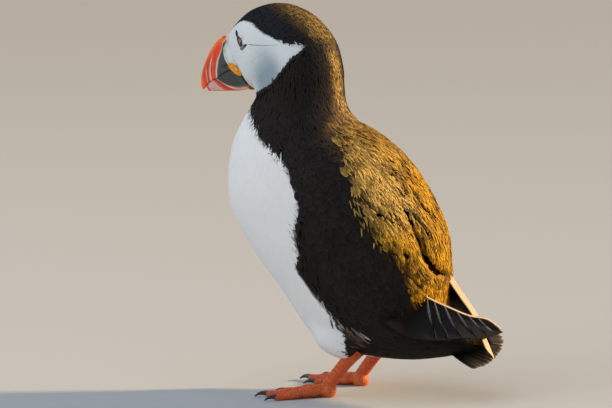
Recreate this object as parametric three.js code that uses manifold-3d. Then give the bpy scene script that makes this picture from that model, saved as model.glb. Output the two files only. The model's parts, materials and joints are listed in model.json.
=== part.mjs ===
// Atlantic puffin, adult in breeding plumage: a still, life-size model of the whole bird,
// standing upright on both feet with its head turned a little to its right.
//
// Millimetres, +Z up. The bird heads along -X, its left side faces -Y, and it stands on Z = 0.
// The feathered body is one smooth tube of oval sections from the tail root over the back of
// the head to the bill, and it is parted into trunk, neck and head by thin cuts. Wings and
// thighs are pads that lie on that surface, and the folded flight feathers, tail, bill, eyes,
// legs, feet and claws are solids of their own.

import * as THREE from 'three';
import { mergeVertices } from 'three/addons/utils/BufferGeometryUtils.js';
import Module from 'manifold-3d';

const wasm = await Module();
wasm.setup();

const SEAM = 0.3; // clear gap between neighbouring solids
const SIDES = { left: 1, right: -1 };
const degrees = THREE.MathUtils.degToRad;
const mix = THREE.MathUtils.lerp;

// ---------------------------------------------------------------------------------------------
// Body surface
// ---------------------------------------------------------------------------------------------

// Oval sections of the body, one for each station from the tail root (0) to the bill (18), with
// the head drawn straight ahead: the point on the back, the point on the breast, half the width,
// and how far the widest place lies towards the back.
// back x, back z, breast x, breast z, half width, shift
const STATIONS = [
  [88.0, 33.5, 80.0, 25.0, 9.0, 0], // tail root
  [76.5, 40.5, 54.0, 21.0, 22.0, 0], // under the tail
  [69.5, 50.5, 27.0, 21.5, 29.0, 0], // vent
  [68.0, 62.0, 6.0, 25.0, 33.0, 0], // rump
  [70.0, 73.0, -10.4, 35.0, 36.5, 0], // tip of the mantle
  [67.8, 93.2, -26.6, 57.4, 41.0, 0], // belly
  [59.2, 112.3, -43.0, 78.5, 43.5, 0], // middle of the trunk
  [45.6, 131.8, -56.6, 102.4, 43.0, 0], // breast
  [31.0, 144.4, -59.4, 122.5, 39.5, 0], // upper breast
  [15.5, 153.7, -56.5, 141.5, 34.0, 0], // shoulders
  [8.8, 163.0, -48.9, 157.5, 28.2, 0], // neck root
  [7.2, 174.0, -43.3, 166.0, 25.4, 0], // neck
  [6.8, 186.0, -43.2, 168.3, 24.4, 0], // neck top
  [1.5, 201.5, -44.3, 169.3, 23.4, 0.03], // nape
  [-13.0, 215.0, -45.2, 169.9, 21.8, 0.08], // back of the crown
  [-31.0, 220.4, -45.9, 170.1, 20.8, 0.08], // crown
  [-48.0, 217.0, -46.8, 170.4, 17.8, 0.03], // brow
  [-60.5, 208.5, -47.9, 170.7, 12.8, 0], // forehead
  [-67.5, 201.0, -48.6, 170.9, 7.8, 0], // bill base
];
const NECK_ROOT = 10;
const NECK_TOP = 12;
const BILL_BASE = STATIONS.length - 1;

const HEAD_TURN = degrees(-15); // towards the bird's right
const TURN_AXIS_X = -20;
const TURN_STARTS = 8.5;
const TURN_ENDS = 12.5;

// Smooth curve through rows of numbers, at a place counted in rows (Catmull-Rom).
function spline(rows, at) {
  const last = rows.length - 1;
  const place = THREE.MathUtils.clamp(at, 0, last);
  const i = Math.min(Math.floor(place), last - 1);
  const t = place - i;
  const [a, b, c, d] = [i - 1, i, i + 1, i + 2].map((k) => rows[THREE.MathUtils.clamp(k, 0, last)]);
  return b.map((_, k) => {
    const bend = (2 * a[k] - 5 * b[k] + 4 * c[k] - d[k]) * t * t;
    const twist = (3 * b[k] - a[k] - 3 * c[k] + d[k]) * t * t * t;
    return 0.5 * (2 * b[k] + (c[k] - a[k]) * t + bend + twist);
  });
}

// Smooth curve through rows whose first number is the place along it, in falling or rising order.
function curveAt(rows, place) {
  const rising = rows[rows.length - 1][0] > rows[0][0];
  let i = 0;
  while (i < rows.length - 2 && (rising ? place > rows[i + 1][0] : place < rows[i + 1][0])) i += 1;
  const t = (place - rows[i][0]) / (rows[i + 1][0] - rows[i][0]);
  return spline(rows, i + THREE.MathUtils.clamp(t, 0, 1)).slice(1);
}

// A point of the straight-ahead head or neck, turned about the upright axis of the neck.
function turned(x, y, z, share = 1) {
  const angle = HEAD_TURN * share;
  const across = x - TURN_AXIS_X;
  return new THREE.Vector3(
    TURN_AXIS_X + across * Math.cos(angle) - y * Math.sin(angle),
    across * Math.sin(angle) + y * Math.cos(angle),
    z,
  );
}

const turnShare = (u) => THREE.MathUtils.smoothstep(u, TURN_STARTS, TURN_ENDS);

// Point of the body surface at station u and angle v: 0 is the middle of the back, +90 degrees
// the bird's left side, 180 degrees the breast.
function skinPoint(u, v) {
  const [backX, backZ, breastX, breastZ, half, shift] = spline(STATIONS, u);
  const c = Math.cos(v);
  const x = (backX + breastX) / 2 + ((backX - breastX) / 2) * c;
  const z = (backZ + breastZ) / 2 + ((backZ - breastZ) / 2) * c;
  const y = -half * Math.sin(v) * (1 + shift * c);
  return turned(x, y, z, turnShare(u));
}

function skinNormal(u, v) {
  const step = 1e-3;
  const from = Math.max(u - step, 0);
  const to = Math.min(u + step, BILL_BASE);
  const alongU = skinPoint(to, v).sub(skinPoint(from, v));
  const alongV = skinPoint(u, v + step).sub(skinPoint(u, v - step));
  return alongU.cross(alongV).normalize();
}

const liftedPoint = (u, v, lift) => skinPoint(u, v).addScaledVector(skinNormal(u, v), lift);

// Unit vector that points out of a section's plane, from the tail towards the bill.
function sectionAhead(u) {
  const [backX, backZ, breastX, breastZ] = spline(STATIONS, u);
  const chord = new THREE.Vector2(backX - breastX, backZ - breastZ).normalize();
  const share = turnShare(u);
  return turned(TURN_AXIS_X - chord.y, 0, chord.x, share).sub(turned(TURN_AXIS_X, 0, 0, share));
}

// ---------------------------------------------------------------------------------------------
// Solids from rings and grids, and cuts
// ---------------------------------------------------------------------------------------------

function indexedGeometry(points, faces) {
  const geometry = new THREE.BufferGeometry();
  const numbers = points.flatMap((p) => [p.x, p.y, p.z]);
  geometry.setAttribute('position', new THREE.Float32BufferAttribute(numbers, 3));
  geometry.setIndex(faces.flat());
  return outward(geometry);
}

// Turns the faces of a closed geometry outward, judged by the sign of its volume.
function outward(geometry) {
  const p = geometry.getAttribute('position');
  const index = geometry.getIndex().array;
  const corner = (k) => new THREE.Vector3().fromBufferAttribute(p, index[k]);
  let volume = 0;
  for (let k = 0; k < index.length; k += 3) {
    volume += corner(k).dot(corner(k + 1).cross(corner(k + 2)));
  }
  if (volume < 0) {
    for (let k = 0; k < index.length; k += 3) {
      [index[k], index[k + 1]] = [index[k + 1], index[k]];
    }
  }
  return geometry;
}

const middleOf = (points) =>
  points.reduce((sum, p) => sum.add(p), new THREE.Vector3()).divideScalar(points.length);

// Closed solid through rings of equally many points, with a fan of faces over each end.
function loft(rings) {
  const n = rings[0].length;
  const points = rings.flat();
  const faces = [];
  for (let i = 0; i < rings.length - 1; i += 1) {
    for (let j = 0; j < n; j += 1) {
      const [a, b] = [i * n + j, i * n + ((j + 1) % n)];
      faces.push([a, b, b + n], [a, b + n, a + n]);
    }
  }
  const start = points.push(middleOf(rings[0])) - 1;
  const end = points.push(middleOf(rings[rings.length - 1])) - 1;
  const last = (rings.length - 1) * n;
  for (let j = 0; j < n; j += 1) {
    const next = (j + 1) % n;
    faces.push([start, next, j], [end, last + j, last + next]);
  }
  return indexedGeometry(points, faces);
}

// Closed sheet between a top and a bottom grid of (m + 1) x (n + 1) points, with a rim round it.
function sheet(m, n, top, bottom) {
  const points = [];
  for (const side of [top, bottom]) {
    for (let i = 0; i <= m; i += 1) {
      for (let j = 0; j <= n; j += 1) points.push(side(i / m, j / n));
    }
  }
  const under = (m + 1) * (n + 1);
  const at = (i, j) => i * (n + 1) + j;
  const faces = [];
  const quad = (a, b, c, d) => faces.push([a, b, c], [a, c, d]);
  for (let i = 0; i < m; i += 1) {
    for (let j = 0; j < n; j += 1) {
      const [a, b, c, d] = [at(i, j), at(i + 1, j), at(i + 1, j + 1), at(i, j + 1)];
      quad(a, b, c, d);
      quad(d + under, c + under, b + under, a + under);
    }
  }
  for (let i = 0; i < m; i += 1) {
    quad(at(i + 1, 0), at(i, 0), at(i, 0) + under, at(i + 1, 0) + under);
    quad(at(i, n), at(i + 1, n), at(i + 1, n) + under, at(i, n) + under);
  }
  for (let j = 0; j < n; j += 1) {
    quad(at(0, j), at(0, j + 1), at(0, j + 1) + under, at(0, j) + under);
    quad(at(m, j + 1), at(m, j), at(m, j) + under, at(m, j + 1) + under);
  }
  return indexedGeometry(points, faces);
}

// Round or oval limb along a curve; radius(t) gives [across, upward] half sizes.
function limb(curve, radius, steps, sides) {
  const rings = [];
  for (let i = 0; i <= steps; i += 1) {
    const t = i / steps;
    const ahead = curve.getTangent(t);
    const across = new THREE.Vector3(0, 0, 1).cross(ahead).normalize();
    const upward = ahead.clone().cross(across);
    const [a, b] = radius(t);
    const ring = [];
    for (let j = 0; j < sides; j += 1) {
      const angle = (2 * Math.PI * j) / sides;
      const point = curve.getPoint(t).addScaledVector(across, a * Math.cos(angle));
      ring.push(point.addScaledVector(upward, b * Math.sin(angle)));
    }
    rings.push(ring);
  }
  return loft(rings);
}

function toSolid(geometry) {
  const bare = geometry.clone();
  bare.deleteAttribute('normal');
  bare.deleteAttribute('uv');
  const merged = mergeVertices(bare, 1e-4);
  return new wasm.Manifold(
    new wasm.Mesh({
      numProp: 3,
      vertProperties: new Float32Array(merged.getAttribute('position').array),
      triVerts: new Uint32Array(merged.getIndex().array),
    }),
  );
}

// The largest single body of a solid, as a geometry.
function toGeometry(solid) {
  const pieces = solid.decompose();
  const whole = pieces.reduce((a, b) => (b.volume() > a.volume() ? b : a));
  const mesh = whole.getMesh();
  const geometry = new THREE.BufferGeometry();
  geometry.setAttribute('position', new THREE.BufferAttribute(mesh.vertProperties, 3));
  geometry.setIndex(new THREE.BufferAttribute(mesh.triVerts, 1));
  return geometry;
}

function without(geometry, ...cutters) {
  const start = toSolid(geometry);
  return toGeometry(cutters.reduce((solid, cutter) => solid.subtract(toSolid(cutter)), start));
}

// ---------------------------------------------------------------------------------------------
// Trunk, neck and head
// ---------------------------------------------------------------------------------------------

const AROUND = 28; // points round the body

// Part of the body between two stations. An end that meets a neighbour draws back by half a seam.
function bodyPart(from, to, steps, { lift = 0, openStart = false, openEnd = false } = {}) {
  const rings = [];
  for (let i = 0; i <= steps; i += 1) {
    const u = mix(from, to, i / steps);
    let draw = 0;
    if (i === 0 && !openStart) draw = SEAM / 2;
    if (i === steps && !openEnd) draw = -SEAM / 2;
    const shift = sectionAhead(u).multiplyScalar(draw);
    const ring = [];
    for (let j = 0; j < AROUND; j += 1) {
      ring.push(liftedPoint(u, (2 * Math.PI * j) / AROUND, lift).add(shift));
    }
    rings.push(ring);
  }
  return loft(rings);
}

const trunk = bodyPart(0, NECK_ROOT, 20, { openStart: true });
const trunkClear = bodyPart(0, NECK_ROOT, 20, { lift: SEAM, openStart: true, openEnd: true });
const neck = bodyPart(NECK_ROOT, NECK_TOP, 4);

// ---------------------------------------------------------------------------------------------
// Eyes, the plates above and below them, and the yellow rosettes at the corners of the mouth
// ---------------------------------------------------------------------------------------------

const EYE = { station: 15.95, angle: 77, ball: 2.75, sunk: 2.1 };
const EYE_RING = { radius: 2.95, tube: 0.6, lift: 0.1 };
const PLATE_UPPER = { station: 16.36, angle: 60, long: 3.5, wide: 1.5, thick: 1.0, turn: 50 };
const PLATE_LOWER = { station: 15.42, angle: 88, long: 3.3, wide: 1.4, thick: 1.0, turn: 122 };
const ROSETTE = { station: 17.3, angle: 105, long: 6.4, wide: 2.5, thick: 2.2, turn: 44 };

const BUTTON_GRID = [8, 5]; // segments round and over each small horny piece
const EYE_GRID = [9, 5];
const RING_GRID = [5, 10];

// Frame on the body surface: x runs round the body from the back, turned by an angle, z is out.
function surfaceFrame(u, v, turn, side, lift = 0) {
  const out = skinNormal(u, side * v);
  const round = skinPoint(u, side * (v + 1e-3)).sub(skinPoint(u, side * (v - 1e-3)));
  round.normalize().applyAxisAngle(out, side * turn);
  const frame = new THREE.Matrix4().makeBasis(round, out.clone().cross(round), out);
  return frame.setPosition(liftedPoint(u, side * v, lift));
}

function button({ station, angle, long, wide, thick, turn }, side, grow = 0) {
  const geometry = new THREE.SphereGeometry(1, ...BUTTON_GRID);
  geometry.scale(long + grow, wide + grow, thick + grow);
  return geometry.applyMatrix4(surfaceFrame(station, degrees(angle), degrees(turn), side));
}

function eyeball(side, grow = 0) {
  const geometry = new THREE.SphereGeometry(EYE.ball + grow, ...EYE_GRID);
  const frame = surfaceFrame(EYE.station, degrees(EYE.angle), 0, side, -EYE.sunk);
  return geometry.applyMatrix4(frame);
}

function eyeRing(side, grow = 0) {
  const geometry = new THREE.TorusGeometry(EYE_RING.radius, EYE_RING.tube + grow, ...RING_GRID);
  const frame = surfaceFrame(EYE.station, degrees(EYE.angle), 0, side, EYE_RING.lift);
  return geometry.applyMatrix4(frame);
}

const rosettesClear = Object.values(SIDES).map((side) => button(ROSETTE, side, SEAM));

const head = without(
  bodyPart(NECK_TOP, BILL_BASE, 11, { openEnd: true }),
  ...rosettesClear,
  ...Object.values(SIDES).flatMap((side) => [
    eyeball(side, SEAM),
    eyeRing(side, SEAM),
    button(PLATE_UPPER, side, SEAM),
    button(PLATE_LOWER, side, SEAM),
  ]),
);

// ---------------------------------------------------------------------------------------------
// Bill: cere, upper mandible and lower mandible
// ---------------------------------------------------------------------------------------------

const CERE_LENGTH = 2.2;
const CERE_RAISED = 0.4;
const GAPE_SHARE = 0.6; // how far down the bill's base the mouth line starts
const BILL_POINTS = 11; // points over each mandible, from one mouth line to the other

// Profiles of the bill in its middle plane, with the head straight ahead: how far along, x, z.
const CULMEN = [
  [0.2, -70.2, 200.2],
  [0.4, -71.6, 199.4],
  [0.55, -75.9, 196.2],
  [0.7, -80.6, 190.3],
  [0.85, -84.7, 183.0],
  [0.95, -87.0, 176.5],
  [1, -87.6, 170.6],
];
const GAPE = [
  [0.2, -63.6, 181.0],
  [0.4, -69.5, 178.6],
  [0.55, -73.5, 176.2],
  [0.7, -77.5, 174.8],
  [0.85, -81.3, 172.8],
  [0.95, -84.2, 170.7],
  [1, -86.2, 169.0],
];
const KEEL = [
  [0.2, -50.6, 171.3],
  [0.4, -53.6, 170.7],
  [0.55, -59.6, 169.4],
  [0.7, -66.6, 168.9],
  [0.85, -75.2, 168.5],
  [1, -82.4, 168.2],
];
const BILL_HALF_WIDTH = [
  [0, 7.7],
  [0.2, 6.8],
  [0.4, 5.8],
  [0.55, 4.8],
  [0.7, 3.7],
  [0.85, 2.5],
  [1, 0.9],
];
const MOUTH_GAP = 0.75; // between the mandibles
const LOWER_REACH = 0.93; // the lower mandible ends this far along, behind the hooked tip
const LOWER_INSET = 0.2; // the lower mandible is this much narrower on each side
const ROUND_SECTION = 0.5; // how a section swells from the ridge to the mouth line: 0.5 is an oval,
const UPPER_SECTION = 0.62; // and more is sharper, as at the tip of the upper mandible
const LOWER_SECTION = 0.75; // and of the lower one

const [baseTopX, baseTopZ, baseBottomX, baseBottomZ, baseHalf] = STATIONS[BILL_BASE];
const baseTop = new THREE.Vector2(baseTopX, baseTopZ);
const baseBottom = new THREE.Vector2(baseBottomX, baseBottomZ);
const baseAhead = new THREE.Vector2(baseBottom.y - baseTop.y, baseTop.x - baseBottom.x).normalize();

// Point on the bill's slanting base, from the top (0) to the chin (1), moved ahead of the face.
function basePoint(share, ahead) {
  return baseTop.clone().lerp(baseBottom, share).addScaledVector(baseAhead, ahead);
}

// The bill's profile from its base line onwards.
function profileAt(rows, along, share, ahead) {
  const start = basePoint(share, ahead);
  return new THREE.Vector2(...curveAt([[0, start.x, start.y], ...rows], along));
}

// Ring over one mandible: from one mouth corner over the ridge to the other.
function mandibleRing(ridge, mouth, half, sharpness) {
  const ring = [];
  for (let j = 0; j < BILL_POINTS; j += 1) {
    const w = (2 * j) / (BILL_POINTS - 1) - 1;
    const down = Math.abs(w);
    const bulge = Math.pow(1 - (1 - down) * (1 - down), sharpness);
    const place = ridge.clone().lerp(mouth, 1 - Math.cos((down * Math.PI) / 2));
    ring.push(turned(place.x, Math.sign(w) * half * bulge, place.y));
  }
  return ring;
}

function cereGeometry() {
  const ring = (ahead, raise) => {
    const top = basePoint(0, ahead).addScaledVector(new THREE.Vector2(0, 1), raise);
    return mandibleRing(top, basePoint(GAPE_SHARE, ahead), baseHalf + raise, ROUND_SECTION);
  };
  return loft([
    ring(SEAM, 0),
    ring(SEAM + CERE_LENGTH * 0.3, CERE_RAISED),
    ring(SEAM + CERE_LENGTH * 0.8, CERE_RAISED),
    ring(SEAM + CERE_LENGTH, 0),
  ]);
}

const upperStart = 2 * SEAM + CERE_LENGTH;
const lowerStart = 3 * SEAM;
const gapeAt = (along) => profileAt(GAPE, along, GAPE_SHARE, upperStart);
const halfAt = (along) => curveAt(BILL_HALF_WIDTH, along)[0];
const RING_PLACES = [0, 0.1, 0.2, 0.3, 0.4, 0.48, 0.56, 0.64, 0.72, 0.8, 0.88, 0.95, 1];

function upperMandible() {
  return loft(
    RING_PLACES.map((along) => {
      const ridge = profileAt(CULMEN, along, 0, upperStart);
      const section = mix(ROUND_SECTION, UPPER_SECTION, along);
      return mandibleRing(ridge, gapeAt(along), halfAt(along), section);
    }),
  );
}

function lowerMandible() {
  return loft(
    RING_PLACES.map((along) => {
      const reach = along * LOWER_REACH;
      const keel = profileAt(KEEL, along, 1, lowerStart);
      const mouth = along === 0 ? basePoint(GAPE_SHARE, lowerStart) : gapeAt(reach);
      const gap = keel.clone().sub(mouth).normalize().multiplyScalar(MOUTH_GAP);
      const section = mix(ROUND_SECTION, LOWER_SECTION, along);
      return mandibleRing(keel, mouth.add(gap), halfAt(reach) - LOWER_INSET, section);
    }),
  );
}

// ---------------------------------------------------------------------------------------------
// Pads that lie on the trunk: folded wings and thighs
// ---------------------------------------------------------------------------------------------

// Edges of the folded wing on the trunk: station, upper and lower edge in degrees from the
// middle of the back, and thickness of the feathers and arm between them.
const WING = [
  [8.9, 64, 74, 0.5],
  [8.4, 49, 85, 2.2],
  [7.4, 39, 88, 3.6],
  [6.4, 34, 94, 4.4],
  [5.4, 33, 102, 4.4],
  [4.6, 30, 103, 4.0],
  [3.9, 17, 98, 3.2],
  [3.2, 15, 88, 2.4],
  [2.7, 30, 66, 1.2],
];
// Feathered thigh: the same for the bulge above the heel.
const THIGH = [
  [4.3, 138, 146, 0.5],
  [4.0, 128, 154, 3.0],
  [3.5, 122, 158, 6.0],
  [3.0, 121, 157, 7.0],
  [2.5, 126, 153, 5.5],
  [2.2, 135, 145, 2.0],
];
const PAD_EDGE = 0.7; // thickness of a pad at its edge
const PAD_FULLNESS = 2.6; // a higher power makes a pad flatter on top with steeper sides
const STATIONS_PER_MM = 0.08; // how far a clearance round a pad reaches along the body
const DEGREES_PER_MM = 1.5; // and round it

// Pad that reaches a little into the trunk; grow makes the clearance round it.
function pad(rows, side, steps, columns, grow = 0) {
  const first = rows[0][0] + grow * STATIONS_PER_MM;
  const end = rows[rows.length - 1][0] - grow * STATIONS_PER_MM;
  const widen = grow * DEGREES_PER_MM;
  const placeAt = (s) => mix(first, end, s);
  const angleAt = (s, t) => {
    const [upper, lower] = curveAt(rows, placeAt(s));
    return side * degrees(mix(upper - widen, lower + widen, t));
  };
  const liftAt = (s, t) => {
    const height = curveAt(rows, placeAt(s))[2];
    const swell = 1 - Math.pow(Math.abs(2 * t - 1), PAD_FULLNESS);
    return SEAM + PAD_EDGE + grow + height * swell;
  };
  return sheet(
    steps,
    columns,
    (s, t) => liftedPoint(placeAt(s), angleAt(s, t), liftAt(s, t)),
    (s, t) => liftedPoint(placeAt(s), angleAt(s, t), -SEAM - grow),
  );
}

const wingPad = (side, grow) => pad(WING, side, 13, 7, grow);
const thighPad = (side, grow) => pad(THIGH, side, 7, 6, grow);

// ---------------------------------------------------------------------------------------------
// Folded flight feathers and tail
// ---------------------------------------------------------------------------------------------

// Upper and lower edge of each folded hand, from under the wing to the tip. The left tip lies
// uppermost, over the right one, and both lie over the tail.
const HAND = {
  left: {
    upper: [
      [60, -21, 62],
      [66.5, -20.5, 58.5],
      [75, -16, 54],
      [85.5, -10, 48.8],
      [95, -4, 46.2],
      [102.6, 1.0, 39.4],
    ],
    lower: [
      [46, -38, 46],
      [58, -36, 38.5],
      [72, -30, 36],
      [85, -22, 37],
      [96, -11, 36.2],
      [103.0, 0.6, 38.4],
    ],
  },
  right: {
    upper: [
      [64, 16, 72],
      [69, 12.5, 66.5],
      [77, 9.5, 57],
      [86, 5, 46.9],
      [93.6, -3, 35.6],
      [101.3, -11.6, 25.4],
    ],
    lower: [
      [50, 37.5, 53],
      [62, 34.5, 46],
      [75, 27.5, 41],
      [86, 18.5, 37.2],
      [94.8, 5, 32.2],
      [101.6, -11.4, 24.6],
    ],
  },
};
const HAND_THICKNESS = [1.9, 0.9]; // at the wing and at the tip
const HAND_CAMBER = 2.0;
const FULL_CAMBER_WIDTH = 20; // a narrower hand is bowed less
const FEATHER_TIPS = [0.3, 0.43, 0.55, 0.67, 0.79, 0.9]; // where the inner feathers end
const TIP_STEP = 0.07; // how far each feather's end steps in from the edge

// Depth of the notch that the stepped feather ends leave in the upper edge.
function tipNotch(s) {
  const from = FEATHER_TIPS.filter((tip) => tip <= s).pop();
  if (from === undefined) return 0;
  const to = FEATHER_TIPS.find((tip) => tip > s) ?? 1;
  return TIP_STEP * (1 - (s - from) / (to - from));
}

const NOTCH_LENGTH = 0.008;
const EDGE_STEP = 0.02; // for the direction of an edge
const HAND_PLACES = [
  0,
  0.1,
  0.2,
  ...FEATHER_TIPS.flatMap((tip) => [tip - NOTCH_LENGTH, tip]),
  0.95,
  1,
];

function handFeathers(name) {
  const { upper, lower } = HAND[name];
  const steps = HAND_PLACES.length - 1;
  const edgeAt = (rows, s) => new THREE.Vector3(...spline(rows, s * (rows.length - 1)));
  const face = (row, t, half) => {
    const s = HAND_PLACES[Math.round(row * steps)];
    const a = edgeAt(upper, s);
    const width = edgeAt(lower, s).sub(a);
    const next = Math.min(s + EDGE_STEP, 1);
    const ahead = edgeAt(upper, next).sub(edgeAt(upper, next - 2 * EDGE_STEP));
    const out = ahead.cross(width).normalize().multiplyScalar(SIDES[name]);
    const across = mix(tipNotch(s), 1, t);
    const narrow = Math.min(1, width.length() / FULL_CAMBER_WIDTH);
    const bow = HAND_CAMBER * Math.sin(Math.PI * across) * narrow;
    const thick = mix(...HAND_THICKNESS, s) / 2;
    return a.addScaledVector(width, across).addScaledVector(out, bow + half * thick);
  };
  return sheet(steps, 3, (s, t) => face(s, t, 1), (s, t) => face(s, t, -1));
}

const TAIL = {
  root: { x: 64, z: 32 },
  tip: { x: 102.6, z: 27.6 },
  from: 0.3, // the solid starts this far along, inside the body
  spread: 38, // half angle of the fan, degrees
  feathers: 12,
  scallop: 1.2,
  rounding: 0.05, // how much shorter the outermost feathers are
  rootThickness: 3.2,
  tipThickness: 1.0,
  taper: 1.15,
  roll: 0.42, // the left edge of the fan hangs lower than the right one
  flatten: 0.35,
  halfWidth: 26,
};

// Fan of the tail: t runs from the root to the tip, a across it from -1 to 1.
function tailPoint(t, a, half) {
  const { root, tip, rounding } = TAIL;
  const wave = Math.abs(Math.sin((Math.PI * TAIL.feathers * (a + 1)) / 2));
  const reach = (tip.x - root.x) * (1 - rounding * a * a) - TAIL.scallop * (1 - wave);
  const angle = degrees(TAIL.spread) * a;
  const x = root.x + reach * t * Math.cos(angle);
  const y = -reach * t * Math.sin(angle);
  const outer = y / TAIL.halfWidth;
  const z = mix(root.z, tip.z, t) + y * TAIL.roll * (1 - TAIL.flatten * outer * outer);
  const thick = mix(TAIL.rootThickness, TAIL.tipThickness, Math.min(1, t * TAIL.taper));
  return new THREE.Vector3(x, y, z + half * thick);
}

function tailGeometry() {
  const face = (half) => (s, t) => tailPoint(mix(TAIL.from, 1, s), 2 * t - 1, half);
  return sheet(3, TAIL.feathers * 2, face(0.5), face(-0.5));
}

// ---------------------------------------------------------------------------------------------
// Legs: tarsi, webbed feet of three toes, and claws
// ---------------------------------------------------------------------------------------------

const LEG = {
  left: { heel: [24, -21, 27.5], pad: [7, -23, 6.2], heading: 22 },
  right: { heel: [28, 21, 27.5], pad: [11, 22, 6.2], heading: 12 },
};
const TARSUS_TOP = [4.3, 4.6];
const TARSUS_MIDDLE = [2.9, 3.6];
const TARSUS_BOTTOM = [4.0, 3.4];
const TOES = [
  { name: 'inner', spread: -25, length: 27, radius: 2.8 },
  { name: 'middle', spread: 0, length: 35, radius: 3.1 },
  { name: 'outer', spread: 23, length: 33, radius: 2.9 },
];
const KNUCKLES = 3;
const KNUCKLE_SWELL = 0.1;
const TOE_TAPER = [1.12, 0.62]; // times the toe's radius, at its base and its end
const TOE_HEIGHT = [1.5, 1.05, 0.5]; // middle line over the floor at base, middle and end, likewise
const WEB_TOP = [4.6, 1.2]; // height of the webs at the heel pad and at their front edge
const WEB_REACH = [0.06, 0.93]; // the webs' start and end along the toes
const WEB_SCOOP = 0.62; // how deeply the front edge of a web curves in
const BALL = { radius: 4.9, height: 3.6 }; // pad under the end of the tarsus
const ANKLE_CLEAR = 2.5; // the foot is open round the end of the tarsus, which stands in it
const CLAW = { length: 6.4, radius: 1.5, narrow: 0.8, tip: 0.32, arch: 1.3, drop: 0.5 };
const ABOVE_FLOOR = 200; // side of the box that keeps what lies above the floor

// Direction on the floor for a foot: straight ahead is -X, and the foot turns outward.
function footDirection(side, angle) {
  return new THREE.Vector3(-Math.cos(degrees(angle)), -side * Math.sin(degrees(angle)), 0);
}

// Straight clearance from one point to another, wider than an oval limb by a margin.
function rod(from, to, [across, upward], margin) {
  return limb(new THREE.LineCurve3(from, to), () => [across + margin, upward + margin], 2, 12);
}

function tarsus(name) {
  const { heel, pad: footPad } = LEG[name];
  const top = new THREE.Vector3(...heel);
  const bottom = new THREE.Vector3(...footPad);
  const middle = top.clone().lerp(bottom, 0.5).add(new THREE.Vector3(-0.6, 0, 0.6));
  const curve = new THREE.QuadraticBezierCurve3(top, middle, bottom);
  const radius = (t) => {
    const ends = t < 0.5 ? TARSUS_TOP : TARSUS_BOTTOM;
    const share = Math.pow(Math.abs(2 * t - 1), 1.8);
    return [mix(TARSUS_MIDDLE[0], ends[0], share), mix(TARSUS_MIDDLE[1], ends[1], share)];
  };
  return limb(curve, radius, 7, 10);
}

function toe(base, direction, length, thickness) {
  const tip = base.clone().addScaledVector(direction, length);
  const raised = (point, z) => point.clone().setZ(z);
  const curve = new THREE.CatmullRomCurve3([
    raised(base, thickness * TOE_HEIGHT[0]),
    raised(base.clone().lerp(tip, 0.45), thickness * TOE_HEIGHT[1]),
    raised(tip, thickness * TOE_HEIGHT[2]),
  ]);
  const radius = (t) => {
    const knuckle = 1 + KNUCKLE_SWELL * Math.cos(2 * Math.PI * KNUCKLES * t);
    const blunt = t === 1 ? 0.7 : 1;
    const taper = mix(...TOE_TAPER, t) * thickness * knuckle * blunt;
    return [taper, taper];
  };
  return limb(curve, radius, 7, 8);
}

function web(base, first, second) {
  const edge = (t) => first.clone().lerp(second, t).sub(base);
  const at = (s, t, z) => {
    const reach = mix(...WEB_REACH, s) * (1 - WEB_SCOOP * t * (1 - t));
    return base.clone().addScaledVector(edge(t), reach).setZ(z);
  };
  return sheet(3, 4, (s, t) => at(s, t, mix(...WEB_TOP, s)), (s, t) => at(s, t, -WEB_TOP[1]));
}

function footBase(name) {
  const [x, y] = LEG[name].pad;
  return new THREE.Vector3(x, y, 0);
}

function toeEnd(name, { spread, length }, extra = 0) {
  const direction = footDirection(SIDES[name], LEG[name].heading + spread);
  return footBase(name).addScaledVector(direction, length + extra);
}

// Foot: three toes, the webs between them and the pad under the tarsus, cut flat on the floor.
function foot(name) {
  const base = footBase(name);
  const toes = TOES.map(({ spread, length, radius }) =>
    toe(base, footDirection(SIDES[name], LEG[name].heading + spread), length, radius),
  );
  const ends = TOES.map((each) => toeEnd(name, each));
  const webs = [web(base, ends[0], ends[1]), web(base, ends[1], ends[2])];
  const ball = new THREE.SphereGeometry(BALL.radius, 10, 6).translate(base.x, base.y, BALL.height);
  const joined = [...toes, ...webs, ball].map(toSolid).reduce((a, b) => a.add(b));
  const above = new THREE.BoxGeometry(ABOVE_FLOOR, ABOVE_FLOOR, ABOVE_FLOOR);
  above.translate(base.x, base.y, ABOVE_FLOOR / 2);
  const heel = new THREE.Vector3(...LEG[name].heel);
  const ankle = new THREE.Vector3(...LEG[name].pad);
  ankle.addScaledVector(ankle.clone().sub(heel).normalize(), SEAM);
  const clear = rod(heel, ankle, TARSUS_BOTTOM, ANKLE_CLEAR);
  return toGeometry(joined.intersect(toSolid(above)).subtract(toSolid(clear)));
}

function claw(name, each) {
  const start = toeEnd(name, each, SEAM);
  const direction = footDirection(SIDES[name], LEG[name].heading + each.spread);
  const height = each.radius * 0.6;
  const curve = new THREE.QuadraticBezierCurve3(
    start.clone().setZ(height + CLAW.tip),
    start.clone().addScaledVector(direction, CLAW.length * 0.6).setZ(height + CLAW.arch),
    start.clone().addScaledVector(direction, CLAW.length).setZ(CLAW.drop),
  );
  const radius = (t) => [mix(CLAW.radius * CLAW.narrow, CLAW.tip, t), mix(CLAW.radius, CLAW.tip, t)];
  return limb(curve, radius, 4, 6);
}

// ---------------------------------------------------------------------------------------------
// The whole bird
// ---------------------------------------------------------------------------------------------

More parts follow.
